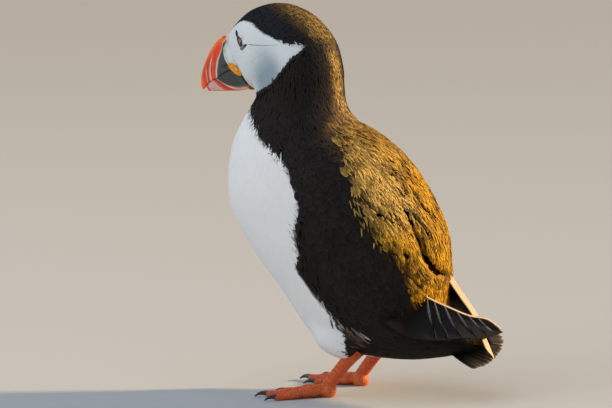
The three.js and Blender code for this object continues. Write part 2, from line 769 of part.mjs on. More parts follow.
const material = (color, roughness) => new THREE.MeshStandardMaterial({ color, roughness, metalness: 0 });
const BLACK_FEATHERS = material(0x2b2624, 0.85);
const FACE_FEATHERS = material(0xc9ccd2, 0.9);
const FLIGHT_FEATHERS = material(0x1f1c1c, 0.7);
const ORANGE_BILL = material(0xe8501c, 0.45);
const CERE_HORN = material(0xe6dcc4, 0.5);
const ROSETTE_SKIN = material(0xf0a51c, 0.6);
const EYE_IRIS = material(0x171212, 0.1);
const EYE_RIM = material(0xb02a1c, 0.6);
const EYE_HORN = material(0x4d5560, 0.6);
const ORANGE_SKIN = material(0xdd4a22, 0.6);
const CLAW_HORN = material(0x161414, 0.4);

const puffin = new THREE.Group();

function addNode(name, geometry, finish) {
  const mesh = new THREE.Mesh(geometry, finish);
  mesh.name = name;
  puffin.add(mesh);
}

addNode('trunk', trunk, BLACK_FEATHERS);
addNode('neck', neck, BLACK_FEATHERS);
addNode('head', head, FACE_FEATHERS);
addNode('cere', without(cereGeometry(), ...rosettesClear), CERE_HORN);
addNode('bill_upper', without(upperMandible(), ...rosettesClear), ORANGE_BILL);
addNode('bill_lower', without(lowerMandible(), ...rosettesClear), ORANGE_BILL);
addNode('tail', without(tailGeometry(), trunkClear), FLIGHT_FEATHERS);

for (const [name, side] of Object.entries(SIDES)) {
  addNode(`rosette_${name}`, button(ROSETTE, side), ROSETTE_SKIN);
  addNode(`eye_${name}`, eyeball(side), EYE_IRIS);
  addNode(`eye_ring_${name}`, eyeRing(side), EYE_RIM);
  addNode(`eye_plate_upper_${name}`, button(PLATE_UPPER, side), EYE_HORN);
  addNode(`eye_plate_lower_${name}`, button(PLATE_LOWER, side), EYE_HORN);

  addNode(`wing_${name}`, without(wingPad(side), trunkClear), BLACK_FEATHERS);
  const feathers = without(handFeathers(name), trunkClear, wingPad(side, SEAM));
  addNode(`primaries_${name}`, feathers, FLIGHT_FEATHERS);

  const [heel, ankle] = [LEG[name].heel, LEG[name].pad].map((place) => new THREE.Vector3(...place));
  const aboveHeel = heel.clone().add(new THREE.Vector3(1, 0, 2));
  const heelClear = rod(aboveHeel, ankle, TARSUS_TOP, 2 * SEAM);
  addNode(`thigh_${name}`, without(thighPad(side), trunkClear, heelClear), BLACK_FEATHERS);
  addNode(`tarsus_${name}`, without(tarsus(name), trunkClear), ORANGE_SKIN);
  addNode(`foot_${name}`, foot(name), ORANGE_SKIN);
  for (const each of TOES) {
    addNode(`claw_${each.name}_${name}`, claw(name, each), CLAW_HORN);
  }
}

// The origin is the middle of the bird's bounding box, at the floor.
const box = new THREE.Box3().setFromObject(puffin);
const centre = box.getCenter(new THREE.Vector3());
puffin.position.set(-centre.x, -centre.y, -box.min.z);
puffin.updateMatrixWorld(true);

export default puffin;
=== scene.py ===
# %% [markdown]
# # Atlantic puffin, a still, life-size model
# The solids of this part give the bird's true outline and stance. This script dresses them: one
# skin under thousands of modelled feathers, flight feathers with pale rims, a horny bill with
# grooves, wrinkled rosettes, wet eyes and scaly webbed feet. The frame is loaded first, because
# every place below is worked out from it.

import json

import bpy
import numpy as np
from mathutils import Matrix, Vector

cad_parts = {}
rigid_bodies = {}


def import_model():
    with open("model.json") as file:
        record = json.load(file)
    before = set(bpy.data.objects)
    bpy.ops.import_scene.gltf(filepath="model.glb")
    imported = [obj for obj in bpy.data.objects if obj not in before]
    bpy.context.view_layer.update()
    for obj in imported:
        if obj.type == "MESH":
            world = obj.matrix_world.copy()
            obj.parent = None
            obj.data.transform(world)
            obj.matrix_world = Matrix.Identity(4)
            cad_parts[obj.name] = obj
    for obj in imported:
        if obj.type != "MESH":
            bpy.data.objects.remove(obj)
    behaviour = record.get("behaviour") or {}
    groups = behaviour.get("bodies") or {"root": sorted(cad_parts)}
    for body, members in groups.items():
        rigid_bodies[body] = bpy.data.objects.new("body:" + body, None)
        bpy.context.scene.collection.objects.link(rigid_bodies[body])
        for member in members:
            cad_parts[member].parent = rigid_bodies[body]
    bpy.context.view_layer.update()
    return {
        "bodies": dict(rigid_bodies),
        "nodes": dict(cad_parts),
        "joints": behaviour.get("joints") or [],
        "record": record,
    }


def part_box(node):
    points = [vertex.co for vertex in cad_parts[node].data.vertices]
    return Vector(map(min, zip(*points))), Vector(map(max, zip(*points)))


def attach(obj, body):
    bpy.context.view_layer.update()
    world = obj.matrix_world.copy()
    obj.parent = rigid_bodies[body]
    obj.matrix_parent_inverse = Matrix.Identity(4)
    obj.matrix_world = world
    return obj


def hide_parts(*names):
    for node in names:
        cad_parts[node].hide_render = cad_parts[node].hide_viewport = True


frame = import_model()
MM = 0.001

# %% [markdown]
# The bird's surfaces are written in millimetres, with the straight-ahead body in the plane
# y = 0 and the tail root at x = 88. The frame's origin lies in the middle of the whole bird's
# box instead, so one shift, read from the trunk's box, takes a point from the drawing to the
# frame.

# %% From the drawing to the frame
TAIL_ROOT_X = 88.0
SIDES = {"left": 1, "right": -1}
trunk_low, trunk_high = (np.array(corner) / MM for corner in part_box("trunk"))
SHIFT = np.array([trunk_high[0] - TAIL_ROOT_X, (trunk_low[1] + trunk_high[1]) / 2, 0.0])
print("shift of the drawing, mm:", SHIFT.round(3))

# %% [markdown]
# ## Camera, light and floor
# A long lens from the bird's left, a little ahead of its side and just above its back, flattens
# the bird as a field lens does. A low warm key from behind its right shoulder draws the
# feathers of neck and mantle, and a broad cool fill from the left keeps detail in the black
# plumage. The floor is a plain pale sweep.

# %% Camera
AZIMUTH = np.radians(20.0)
ELEVATION = np.radians(6.0)
DISTANCE = 1.94286
TARGET = np.array([-0.02568, 0.00760, 0.10570])
LENS, SENSOR_WIDTH = 200.0, 36.0
level = np.cos(ELEVATION)
to_camera = np.array([np.sin(AZIMUTH) * level, -np.cos(AZIMUTH) * level, np.sin(ELEVATION)])


def new_object(name, data):
    """An object in the scene that shows the data."""
    thing = bpy.data.objects.new(name, data)
    bpy.context.scene.collection.objects.link(thing)
    return thing


camera = new_object("camera", bpy.data.cameras.new("camera"))
camera.data.lens = LENS
camera.data.sensor_width = SENSOR_WIDTH
camera.location = TARGET + to_camera * DISTANCE
camera.rotation_euler = (np.pi / 2 - ELEVATION, 0.0, AZIMUTH)
bpy.context.scene.camera = camera
print("camera at", [round(c, 4) for c in camera.location])


# %% Lights
SKY_COLOUR, SKY_STRENGTH = (0.78, 0.86, 0.95, 1.0), 0.46


def light(name, kind, direction, distance, settings):
    """A light at a distance from the bird's middle, in a direction from it and aimed at it."""
    data = bpy.data.lights.new(name, kind)
    for key, value in settings.items():
        setattr(data, key, value)
    x, y, z = np.array(direction) / np.linalg.norm(direction)
    thing = new_object(name, data)
    thing.location = TARGET + np.array([x, y, z]) * distance
    thing.rotation_euler = (np.arctan2(np.hypot(x, y), z), 0.0, np.arctan2(x, -y))


light("key", "SUN", (0.80, 0.50, 0.30), 3.0,
      {"angle": np.radians(5.0), "energy": 6.4, "color": (1.0, 0.72, 0.40)})
light("fill", "AREA", (-0.75, -0.85, 0.45), 2.4, {"size": 2.2, "energy": 22.0, "color": (0.88, 0.94, 1.0)})
light("top", "AREA", (-0.1, -0.2, 1.0), 2.6, {"size": 2.4, "energy": 16.0, "color": (0.94, 0.97, 1.0)})

world = bpy.data.worlds.new("studio")
world.use_nodes = True
sky = world.node_tree.nodes["Background"].inputs
sky["Color"].default_value = SKY_COLOUR
sky["Strength"].default_value = SKY_STRENGTH
bpy.context.scene.world = world
bpy.context.scene.view_settings.view_transform = "Standard"
print("lights:", bpy.data.lights.keys())

# %% [markdown]
# ## Finishes
# Every finish is one Principled shader with a few nodes before it. A wire between nodes is
# wrapped in a small class whose sums and products add the Math nodes, and a finish has one
# method for every other node.


# %% A wire
class Wire:
    """A socket of a finish. Sums, differences and products add Math nodes."""

    def __init__(self, finish, socket):
        self.finish = finish
        self.socket = socket

    def math(self, operation, other):
        return self.finish.add("ShaderNodeMath", {"operation": operation}, {0: self, 1: other})

    def __add__(self, other):
        return self.math("ADD", other)

    def __sub__(self, other):
        return self.math("SUBTRACT", other)

    def __mul__(self, other):
        return self.math("MULTIPLY", other)


# %% A finish
class Finish:
    """A material with one Principled shader. Constants are set on the shader's own sockets."""

    def __init__(self, name, constants):
        self.material = bpy.data.materials.new(name)
        self.material.use_nodes = True
        self.tree = self.material.node_tree
        self.shader = self.tree.nodes["Principled BSDF"]
        for socket, value in constants.items():
            self.shader.inputs[socket].default_value = value

    def feed(self, socket, source):
        """Links a wire to a socket, or sets the socket to a plain value."""
        if isinstance(source, Wire):
            self.tree.links.new(source.socket, socket)
        else:
            socket.default_value = source

    def add(self, kind, settings=None, inputs=None, output=0):
        """Adds a node of a kind, with its settings and the values or wires of its sockets."""
        node = self.tree.nodes.new(kind)
        for key, setting in (settings or {}).items():
            setattr(node, key, setting)
        for key, source in (inputs or {}).items():
            self.feed(node.inputs[key], source)
        return Wire(self, node.outputs[output])

    def set(self, **wires):
        """Feeds the shader's sockets, named with _ for a space."""
        for name, wire in wires.items():
            self.feed(self.shader.inputs[name.replace("_", " ")], wire)

    def attribute(self, name, output="Color"):
        return self.add("ShaderNodeAttribute", {"attribute_name": name}, output=output)

    def noise(self, scale, detail=3.0, roughness=0.55, where=None):
        """Noise over Object coordinates, in metres, or over other ones."""
        where = where or self.add("ShaderNodeTexCoord", output="Object")
        settings = {"Vector": where, "Scale": scale, "Detail": detail, "Roughness": roughness}
        return self.add("ShaderNodeTexNoise", None, settings, "Fac")

    def fade(self, value, low, high, start=0.0, end=1.0):
        """Runs smoothly from start to end while the value runs from low to high."""
        inputs = {0: value, 1: low, 2: high, 3: start, 4: end}
        return self.add("ShaderNodeMapRange", {"interpolation_type": "SMOOTHSTEP"}, inputs)

    def painted(self, shade, factor=1.0):
        """The colour stored on the piece's points, times a shade of grey."""
        settings = {"data_type": "RGBA", "blend_type": "MULTIPLY", "clamp_factor": True}
        grey = self.add("ShaderNodeCombineColor", None, {0: shade, 1: shade, 2: shade})
        return self.add("ShaderNodeMix", settings, {0: factor, 6: self.attribute("paint"), 7: grey}, 2)

    def bump(self, height, distance, strength=1.0):
        inputs = {"Height": height, "Distance": distance, "Strength": strength}
        return self.add("ShaderNodeBump", None, inputs)


def grained(finish, grain, shade, gloss, height, distance, strength):
    """Painted colour times a shade, roughness from one value to the other of gloss by a fine
    grain, and a height that raises the surface."""
    finish.set(Base_Color=finish.painted(shade), Roughness=finish.fade(grain, 0.3, 0.7, *gloss),
               Normal=finish.bump(height, distance, strength))


# %% [markdown]
# A new piece is a mesh made from whole arrays of points and faces. It keeps its place in its
# mesh, rides on the only body of a still model, and takes its finish. Colours that belong to
# places on the bird are stored on its points.


# %% Pieces from arrays
def piece(name, points_mm, faces, finish, replaces, paint, extra=None):
    """A mesh piece from points in the drawing's millimetres and an array of triangles or quads."""
    points = (np.asarray(points_mm, float).reshape(-1, 3) + SHIFT) * MM
    faces = np.asarray(faces, np.int32)
    mesh = bpy.data.meshes.new(name)
    mesh.vertices.add(len(points))
    mesh.vertices.foreach_set("co", points.astype(np.float32).ravel())
    mesh.loops.add(faces.size)
    mesh.loops.foreach_set("vertex_index", faces.ravel())
    mesh.polygons.add(len(faces))
    mesh.polygons.foreach_set("loop_start", np.arange(len(faces), dtype=np.int32) * faces.shape[1])
    mesh.polygons.foreach_set("use_smooth", np.ones(len(faces), bool))
    mesh.update(calc_edges=True)
    colours = np.ones((len(points), 4), np.float32)
    colours[:, :3] = np.asarray(paint).reshape(-1, 3)
    mesh.attributes.new("paint", "FLOAT_COLOR", "POINT").data.foreach_set("color", colours.ravel())
    for label, values in (extra or {}).items():
        vectors = np.asarray(values, np.float32).ravel()
        mesh.attributes.new(label, "FLOAT_VECTOR", "POINT").data.foreach_set("vector", vectors)
    mesh.materials.append(finish.material)
    thing = new_object(name, mesh)
    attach(thing, "root")
    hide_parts(*replaces)
    print(f"{name}: {len(points)} points, {len(faces)} faces")
    return thing


# %% Faces, closed tubes and joined surfaces
def circle(count):
    """Angles evenly round a circle."""
    return np.linspace(0, 2 * np.pi, count, endpoint=False)


def grid_faces(rows, columns):
    """Quads between neighbouring rows and columns; the last column is joined to the first."""
    i, j = np.meshgrid(np.arange(rows - 1), np.arange(columns), indexing="ij")
    k = (j + 1) % columns
    quads = np.stack([i * columns + j, i * columns + k, (i + 1) * columns + k, (i + 1) * columns + j], -1)
    return quads.reshape(-1, 4)


def faces_out(points, faces):
    """The same quads, turned round if the volume inside them comes out negative."""
    a, b, c, d = (points[faces[:, k]] for k in range(4))
    volume = (np.cross(a, b) * c).sum() + (np.cross(a, c) * d).sum()
    return faces if volume > 0 else faces[:, ::-1]


def closed_tube(rings):
    """Points and outward quads of a tube of rings, its ends closed by a point in their middle."""
    rows, columns = rings.shape[:2]
    points = np.concatenate([rings.reshape(-1, 3), [rings[0].mean(0), rings[-1].mean(0)]])
    j = np.arange(0, columns, 2)
    fan = np.stack([np.full_like(j, rows * columns), (j + 2) % columns, (j + 1) % columns, j], -1)
    last = (rows - 1) * columns
    end = np.concatenate([fan[:, :1] + 1, last + fan[:, :0:-1]], 1)
    return points, faces_out(points, np.concatenate([grid_faces(rows, columns), fan, end]))


def joined(surfaces):
    """Points and faces of several surfaces as those of one mesh."""
    firsts = np.cumsum([0] + [len(points) for points, _ in surfaces[:-1]])
    points = np.concatenate([points for points, _ in surfaces])
    return points, np.concatenate([faces + first for (_, faces), first in zip(surfaces, firsts)])


def tube_piece(name, rings, paint, ends, finish, replaces):
    """A closed tube as a piece, with the colours of its grid and one or two for its end points."""
    points, faces = closed_tube(rings)
    colours = np.concatenate([np.asarray(paint).reshape(-1, 3), np.broadcast_to(ends, (2, 3))])
    piece(name, points, faces, finish, replaces, colours)


# %% Floor
FLOOR_REACH = 14.0
FLOOR_GREY = (0.46, 0.47, 0.48, 1.0)
floor_finish = Finish("pale_floor", {"Roughness": 0.85, "Specular IOR Level": 0.2})
floor_finish.set(Base_Color=FLOOR_GREY)
floor_mesh = bpy.data.meshes.new("floor")
corners = np.array([(-1, -1, 0), (1, -1, 0), (1, 1, 0), (-1, 1, 0)]) * FLOOR_REACH
floor_mesh.from_pydata(corners.tolist(), [], [(0, 1, 2, 3)])
floor_mesh.materials.append(floor_finish.material)
new_object("floor", floor_mesh)

# %% [markdown]
# ## The body's surface
# The feathered body is one smooth tube of oval sections, from the tail root over the back of
# the head to the bill. Every feather is laid out on it, by a station along the tube and an
# angle round it: 0 is the middle of the back, 90 degrees the bird's left side, 180 the breast.
# Smooth curves run through the stations, and the head is turned 15 degrees to its right.

# %% Stations
# back x, back z, breast x, breast z, half width, shift of the widest place towards the back
STATIONS = np.array([
    [88, 33.5, 80, 25, 9, 0],  # tail root
    [76.5, 40.5, 54, 21, 22, 0],  # under the tail
    [69.5, 50.5, 27, 21.5, 29, 0],  # vent
    [68, 62, 6, 25, 33, 0],  # rump
    [70, 73, -10.4, 35, 36.5, 0],  # tip of the mantle
    [67.8, 93.2, -26.6, 57.4, 41, 0],  # belly
    [59.2, 112.3, -43, 78.5, 43.5, 0],  # middle of the trunk
    [45.6, 131.8, -56.6, 102.4, 43, 0],  # breast
    [31, 144.4, -59.4, 122.5, 39.5, 0],  # upper breast
    [15.5, 153.7, -56.5, 141.5, 34, 0],  # shoulders
    [8.8, 163, -48.9, 157.5, 28.2, 0],  # neck root
    [7.2, 174, -43.3, 166, 25.4, 0],  # neck
    [6.8, 186, -43.2, 168.3, 24.4, 0],  # neck top
    [1.5, 201.5, -44.3, 169.3, 23.4, 0.03],  # nape
    [-13, 215, -45.2, 169.9, 21.8, 0.08],  # back of the crown
    [-31, 220.4, -45.9, 170.1, 20.8, 0.08],  # crown
    [-48, 217, -46.8, 170.4, 17.8, 0.03],  # brow
    [-60.5, 208.5, -47.9, 170.7, 12.8, 0],  # forehead
    [-67.5, 201, -48.6, 170.9, 7.8, 0],  # bill base
])
BILL_BASE = len(STATIONS) - 1
HEAD_TURN = np.radians(-15.0)
TURN_AXIS_X = -20.0
TURN_STARTS, TURN_ENDS = 8.5, 12.5


# %% Shares, mixes and curves
def smooth(value, low=0.0, high=1.0):
    """0 below low, 1 above high, and between them the cubic 3t^2 - 2t^3."""
    t = np.clip((value - low) / (high - low), 0, 1)
    return t * t * (3 - 2 * t)


def bell(value, at, wide):
    """1 at a value, falling off on both sides of it."""
    return np.exp(-((value - at) / wide) ** 2)


def mix(a, b, t):
    return a + (b - a) * t


def column(share):
    """A share with one more axis, ready to weigh colours or points."""
    return np.asarray(share)[..., None]


def layers(colour, *marks):
    """Lays each mark's colour over the colour so far, by the mark's share at every place."""
    for mark, share in marks:
        colour = mix(colour, mark, column(share))
    return colour


def spline(rows, at):
    """Uniform Catmull-Rom curve through the rows, read at places counted in rows."""
    at = np.clip(at, 0, len(rows) - 1)
    i = np.minimum(np.floor(at).astype(int), len(rows) - 2)
    t = column(at - i)
    a, b, c, d = (rows[np.clip(i + k, 0, len(rows) - 1)] for k in (-1, 0, 1, 2))
    bend = (2 * a - 5 * b + 4 * c - d) * t * t
    twist = (3 * b - a - 3 * c + d) * t * t * t
    return 0.5 * (2 * b + (c - a) * t + bend + twist)


def curve_at(rows, place):
    """The spline through rows whose first number says where they lie; returns the other
    numbers, with no axis of their own where there is only one."""
    rows = np.asarray(rows, float)
    order = slice(None) if rows[-1, 0] > rows[0, 0] else slice(None, None, -1)
    found = spline(rows, np.interp(place, rows[order, 0], np.arange(len(rows), dtype=float)[order]))
    return found[..., 1] if rows.shape[1] == 2 else found[..., 1:]


# %% Points and normals of the body
def turned(x, y, z, share=1.0):
    """A point of the straight-ahead head, turned about the upright axis of the neck."""
    angle = HEAD_TURN * share
    across = x - TURN_AXIS_X
    turned_x = TURN_AXIS_X + across * np.cos(angle) - y * np.sin(angle)
    return np.stack([turned_x, across * np.sin(angle) + y * np.cos(angle), z + 0 * turned_x], -1)


def body_point(u, v):
    """Middle of the section plus its half chord times cos v, with sin v times the half width
    sideways, then turned with the head."""
    back_x, back_z, breast_x, breast_z, half, shift = np.moveaxis(spline(STATIONS, u), -1, 0)
    c = np.cos(v)
    x = (back_x + breast_x) / 2 + (back_x - breast_x) / 2 * c
    z = (back_z + breast_z) / 2 + (back_z - breast_z) / 2 * c
    y = -half * np.sin(v) * (1 + shift * c)
    return turned(x, y, z, smooth(u, TURN_STARTS, TURN_ENDS))


def unit(vectors):
    return vectors / np.maximum(np.linalg.norm(vectors, axis=-1, keepdims=True), 1e-9)


def body_normal(u, v, step=1e-3):
    """Square to the changes of the body's point along and round it, by central differences."""
    high, low = np.clip(u + step, 0, BILL_BASE), np.clip(u - step, 0, BILL_BASE)
    along = body_point(high, v) - body_point(low, v)
    return unit(np.cross(along / column(high - low), body_point(u, v + step) - body_point(u, v - step)))


print("middle of the back at the first and last station:", body_point(np.array([0, BILL_BASE]), 0).round(1))


# %% [markdown]
# ## The coat's outer surface
# Folded wings and feathered thighs swell the plain tube, and the long shoulder feathers lie
# over the back in two thick groups with a dark cleft between them. All this is one height over
# the tube, so that skin and feathers follow it together. Wings and thighs are the same rows of
# edges and heights as the solids have.

# %% Heights of wings, thighs and shoulder feathers
# station, upper and lower edge in degrees from the middle of the back, height
WING = [[8.9, 64, 74, 0.5], [8.4, 49, 85, 2.2], [7.4, 39, 88, 3.6], [6.4, 34, 94, 4.4], [5.4, 33, 102, 4.4],
        [4.6, 30, 103, 4.0], [3.9, 17, 98, 3.2], [3.2, 15, 88, 2.4], [2.7, 30, 66, 1.2]]
THIGH = [[4.3, 138, 146, 0.5], [4.0, 128, 154, 3.0], [3.5, 122, 158, 6.0], [3.0, 121, 157, 7.0],
         [2.5, 126, 153, 5.5], [2.2, 135, 145, 2.0]]
PAD_SHAPE = (2.6, 1.5)

# millimetres, about, for a station and for a degree on the trunk
LINE_SCALE = np.array([19.0, 0.72])
# Inner edge of the left shoulder feathers, over the middle of the back to the other wing
CLEFT = [[7.6, 40], [6.6, 37], [5.83, 33], [5.2, 34], [4.6, 32], [4.15, 24], [3.7, 4], [3.6, -14]]
# Where the brown shoulder feathers end over the black wing, on the left side
BROWN_EDGE = [[8.9, 36], [7.98, 47], [7.25, 53], [6.45, 58], [5.55, 61], [4.9, 55], [4.3, 52], [3.8, 53],
              [3.4, 52], [3.12, 47], [2.95, 30], [2.7, 0]]
BROWN_STATIONS = (2.7, 8.9)
# Short gaps between the long feathers of back and shoulders: lines of station and angle
GAPS = [[[7.08, 10], [6.88, 8]], [[6.58, 4], [6.35, 3]], [[6.30, 17], [6.03, 18], [5.83, 16], [5.53, 10]],
        [[5.85, 29], [5.53, 27], [5.03, 23]], [[6.50, 55], [6.25, 55], [5.98, 52], [5.72, 47]],
        [[5.70, 44], [5.45, 42]], [[5.10, 57], [4.90, 54], [4.78, 47]], [[6.90, 22], [6.74, 26]],
        [[8.08, 30], [8.04, 41]], [[6.50, 22], [6.23, 26]], [[4.30, 50], [4.0, 44], [3.75, 42]]]
GAP_DEPTH, GAP_WIDTH, CLEFT_DEPTH = 0.9, 0.75, 2.6
SHOULDER_SWELL, SWELL_REACH = 0.7, 12


# %% Angles, pads and lines
def signed_degrees(v):
    """Angle from the middle of the back, -180 to 180 degrees, positive on the left."""
    return (np.degrees(v) + 180) % 360 - 180


def from_back(v):
    """Angle from the middle of the back to either side, in degrees."""
    return np.abs(signed_degrees(v))


def pad_height(rows, u, v):
    """Height of a pad: (1 - m^2.6)^1.5, m going from 0 in its middle to 1 at both edges, so
    that it leaves the body without a crease."""
    upper, lower, height = np.moveaxis(curve_at(rows, u), -1, 0)
    t = (from_back(v) - upper) / np.maximum(lower - upper, 1)
    middle = np.minimum(np.abs(2 * t - 1), 1)
    ends = smooth(u, rows[-1][0] - 0.2, rows[-1][0] + 0.5) * smooth(rows[0][0] - u, -0.1, 0.8)
    return ends * height * (1 - middle ** PAD_SHAPE[0]) ** PAD_SHAPE[1]


def from_line(line, u, degrees):
    """Distance in millimetres to a line of station and angle points, and the side it lies on:
    positive to the left of the way along it."""
    line = np.array(line) * LINE_SCALE
    here = np.stack(np.broadcast_arrays(u, degrees), -1) * LINE_SCALE
    best = np.full(here.shape[:-1], 1e9)
    side = np.zeros(here.shape[:-1])
    for start, way in zip(line[:-1], np.diff(line, axis=0)):
        share = np.clip(((here - start) @ way) / (way @ way), 0, 1)
        gap = here - start - column(share) * way
        distance = np.hypot(gap[..., 0], gap[..., 1])
        nearer = distance < best
        side = np.where(nearer, np.sign(way[0] * gap[..., 1] - way[1] * gap[..., 0]), side)
        best = np.where(nearer, distance, best)
    return best, side


# %% Brown, gaps, cleft and swelling
def brown_share(u, v):
    """1 on the worn brown shoulder and back feathers, 0 on the black plumage."""
    degrees = from_back(v)
    distance, _ = from_line(BROWN_EDGE, u, degrees)
    inside = (degrees < curve_at(BROWN_EDGE, u)) & (u > BROWN_STATIONS[0]) & (u < BROWN_STATIONS[1])
    return smooth(np.where(inside, distance, -distance), -1.5, 1.5)


def gap_share(u, v):
    """1 on the middle line of a gap between long feathers, 0 away from all of them."""
    return bell(np.min([from_line(line, u, from_back(v))[0] for line in GAPS], axis=0), 0, GAP_WIDTH)


def cleft_share(u, v):
    """1 on the cleft between the two shoulders, which opens from a fine line to a dark gap."""
    distance, _ = from_line(CLEFT, u, signed_degrees(v))
    wide = 0.7 + 1.5 * smooth(5.6 - u, 0, 1.0)
    return bell(distance, 0, wide) * smooth(u, 3.3, 3.9) * smooth(6.1 - u, 0, 0.4)


def swell_height(u, v):
    """Wings and thighs, plus the thickness of the shoulder feathers towards their edge."""
    height = np.maximum(pad_height(WING, u, v), pad_height(THIGH, u, v))
    edge, _ = from_line(BROWN_EDGE, u, from_back(v))
    swell = SHOULDER_SWELL * brown_share(u, v) * smooth(6.8 - u, 0, 1.6) * np.exp(-edge / SWELL_REACH)
    return height + swell


def softened(height, reach):
    """A grid of heights blurred along both its axes by a bell curve some cells wide."""
    for _ in range(2):
        gain = np.exp(-2 * (np.pi * np.fft.rfftfreq(height.shape[0]) * reach) ** 2)
        height = np.fft.irfft(np.fft.rfft(height, axis=0) * gain[:, None], height.shape[0], axis=0).T
    return height


# %% [markdown]
# Some tens of thousands of feathers read this surface, so it is worked out once on a fine grid
# of stations and angles, with its normals and slopes, and read from there by blending the four
# nearest values. Past the tail root the surface runs straight on, so that the last feathers
# can reach out over the tail.

# %% The surface as a table
ROWS, COLUMNS = 1081, 720
SOFT_CELLS = 5.5
U_STEP, V_STEP = BILL_BASE / (ROWS - 1), 2 * np.pi / COLUMNS


def body_grid(rows, columns):
    """Stations and angles of a grid over the whole body."""
    return np.meshgrid(np.linspace(0, BILL_BASE, rows), circle(columns), indexing="ij")


u, v = body_grid(ROWS, COLUMNS)
height = softened(swell_height(u, v), SOFT_CELLS)
height -= CLEFT_DEPTH * cleft_share(u, v) + GAP_DEPTH * gap_share(u, v)
table_point = body_point(u, v) + body_normal(u, v) * column(height)
table_along = np.gradient(table_point, U_STEP, axis=0)
table_around = (np.roll(table_point, -1, 1) - np.roll(table_point, 1, 1)) / (2 * V_STEP)
table_cross = np.cross(table_along, table_around)
table_area = np.linalg.norm(table_cross, axis=-1, keepdims=True)
surface_table = np.concatenate([table_point, unit(table_cross), table_along, table_around, table_area], -1)
POINT, NORMAL, ALONG, AROUND, AREA = (slice(0, 3), slice(3, 6), slice(6, 9), slice(9, 12), 12)
print("coat surface, cm2:", round((table_area.sum() * U_STEP * V_STEP) / 100, 1))


def read_surface(u, v, columns=slice(None)):
    """Blend of the four table entries round (u, v), carried straight on below station 0."""
    row = np.clip(u / U_STEP, 0, ROWS - 1.001)
    place = (v / V_STEP) % COLUMNS
    i, j = row.astype(int), place.astype(int) % COLUMNS
    k = (j + 1) % COLUMNS
    table = surface_table[..., columns]
    a, b = row - i, place - np.floor(place)
    if table.ndim == 3:
        a, b = column(a), column(b)
    return mix(mix(table[i, j], table[i, k], b), mix(table[i + 1, j], table[i + 1, k], b), a)


def coat_at(u, v, lift):
    """Point of the coat's surface, moved along the normal by lift."""
    found = read_surface(u, v, slice(0, 9))
    past_root = column(np.minimum(u, 0)) * found[..., ALONG]
    return found[..., POINT] + found[..., NORMAL] * column(lift) + past_root


# %% [markdown]
# ## Markings
# An adult in summer dress is black above, with a black collar, and white below from the breast
# to the vent. The cheek is pale grey from the cap to the chin and runs out in a point behind
# the eye, and the worn feathers of back and shoulders are brown with ochre edges. Each border
# is a short line of stations and angles, and one function gives the colour at a place, for the
# skin and for every feather.

# %% Borders and colours
# station, degrees from the back
BREAST_EDGE = [[0, 158], [1.5, 158], [2.3, 148], [2.8, 128], [3.28, 116], [4.12, 115], [4.7, 119], [5.3, 119],
               [5.55, 111], [6.12, 104], [6.58, 93], [7.1, 90], [7.88, 90], [8.83, 103], [9.5, 117],
               [10.25, 143], [10.4, 160]]
COLLAR_TOP = 10.3
PLUMAGE_FADE, STATION_FADE = 1.2, 0.03  # half width of a soft border, in degrees and in stations
CAP_EDGE = [[12.8, 34], [12.95, 37], [13.1, 43], [13.22, 51], [13.38, 58], [13.75, 64], [14.23, 67],
            [14.78, 64], [15.23, 56], [16.38, 38], [17.2, 25], [18, 14]]
NAPE_WIDTH = [[8.6, 58], [9.1, 44], [9.6, 30], [10.3, 23], [11.6, 20], [12.6, 20], [13.4, 40],
              [14.2, 42], [15, 34]]
CREASE = np.array([[15.20, 85.2], [14.85, 84.6], [14.53, 83.0], [14.25, 80.6], [14.05, 77.8], [13.85, 73.8],
                   [13.69, 69.5]])
# degrees from the back, station: the cheek's rear border, and where the face ends at the bill
CHEEK_EDGE = [[0, 13.1], [36, 12.98], [50, 12.84], [63, 12.74], [76, 12.50], [88, 12.18], [103, 11.85],
              [135, 11.7], [180, 11.7]]
FACE_FRONT = [[0, 17.72], [40, 17.76], [60, 17.9], [86, 18.0], [98, 17.85], [126, 16.6], [142, 15.0],
              [160, 13.2], [180, 12.4]]


def rgb(*shares):
    """A linear colour from its shares of red, green and blue."""
    return np.array(shares)


BLACK = rgb(0.015, 0.012, 0.011)
# the cap's black, tinted blue as a painted reflection of the sky
CAP_BLACK_SKY_TINT = rgb(0.0145, 0.014, 0.0165)
WHITE = rgb(0.80, 0.81, 0.82)
FACE = rgb(0.68, 0.72, 0.74)
FACE_SHADE = rgb(0.24, 0.32, 0.38)
BROWN = rgb(0.20, 0.12, 0.045)
# worn brown of the nape, made lighter as painted sunlight on the back of the neck and crown
NAPE_SUNLIT_BROWN = rgb(0.30, 0.175, 0.058)


# %% The marks, one over the other
def breast_share(u, v):
    """1 on the white of breast and belly, 0 elsewhere."""
    inside = from_back(v) - curve_at(BREAST_EDGE, np.minimum(u, BREAST_EDGE[-1][0]))
    return smooth(inside, -PLUMAGE_FADE, PLUMAGE_FADE) * smooth(COLLAR_TOP - u, -0.04, 0.04)


def cheek_share(u, v):
    """1 on the pale cheek, 0 on cap and neck."""
    under_cap = smooth(from_back(v) - curve_at(CAP_EDGE, u), -PLUMAGE_FADE, PLUMAGE_FADE)
    return under_cap * smooth(u - curve_at(CHEEK_EDGE, from_back(v)), -STATION_FADE, STATION_FADE)


def nape_share(u, v):
    """1 on the brown back of the neck and of the crown, worn brown made lighter as painted sunlight, with a
    darker band between them that is the painted shadow under the crown's edge.
    """
    share = smooth(1 - from_back(v) / curve_at(NAPE_WIDTH, u), 0, 0.85)
    crown = 1 - 0.25 * smooth(u, 12.9, 13.5)
    # painted shadow under the ledge of the crown
    band = 1 - 0.7 * smooth(u, 12.5, 12.8) * smooth(13.2 - u, 0, 0.25)
    return share * crown * smooth(15.5 - u, 0, 1.2) * band


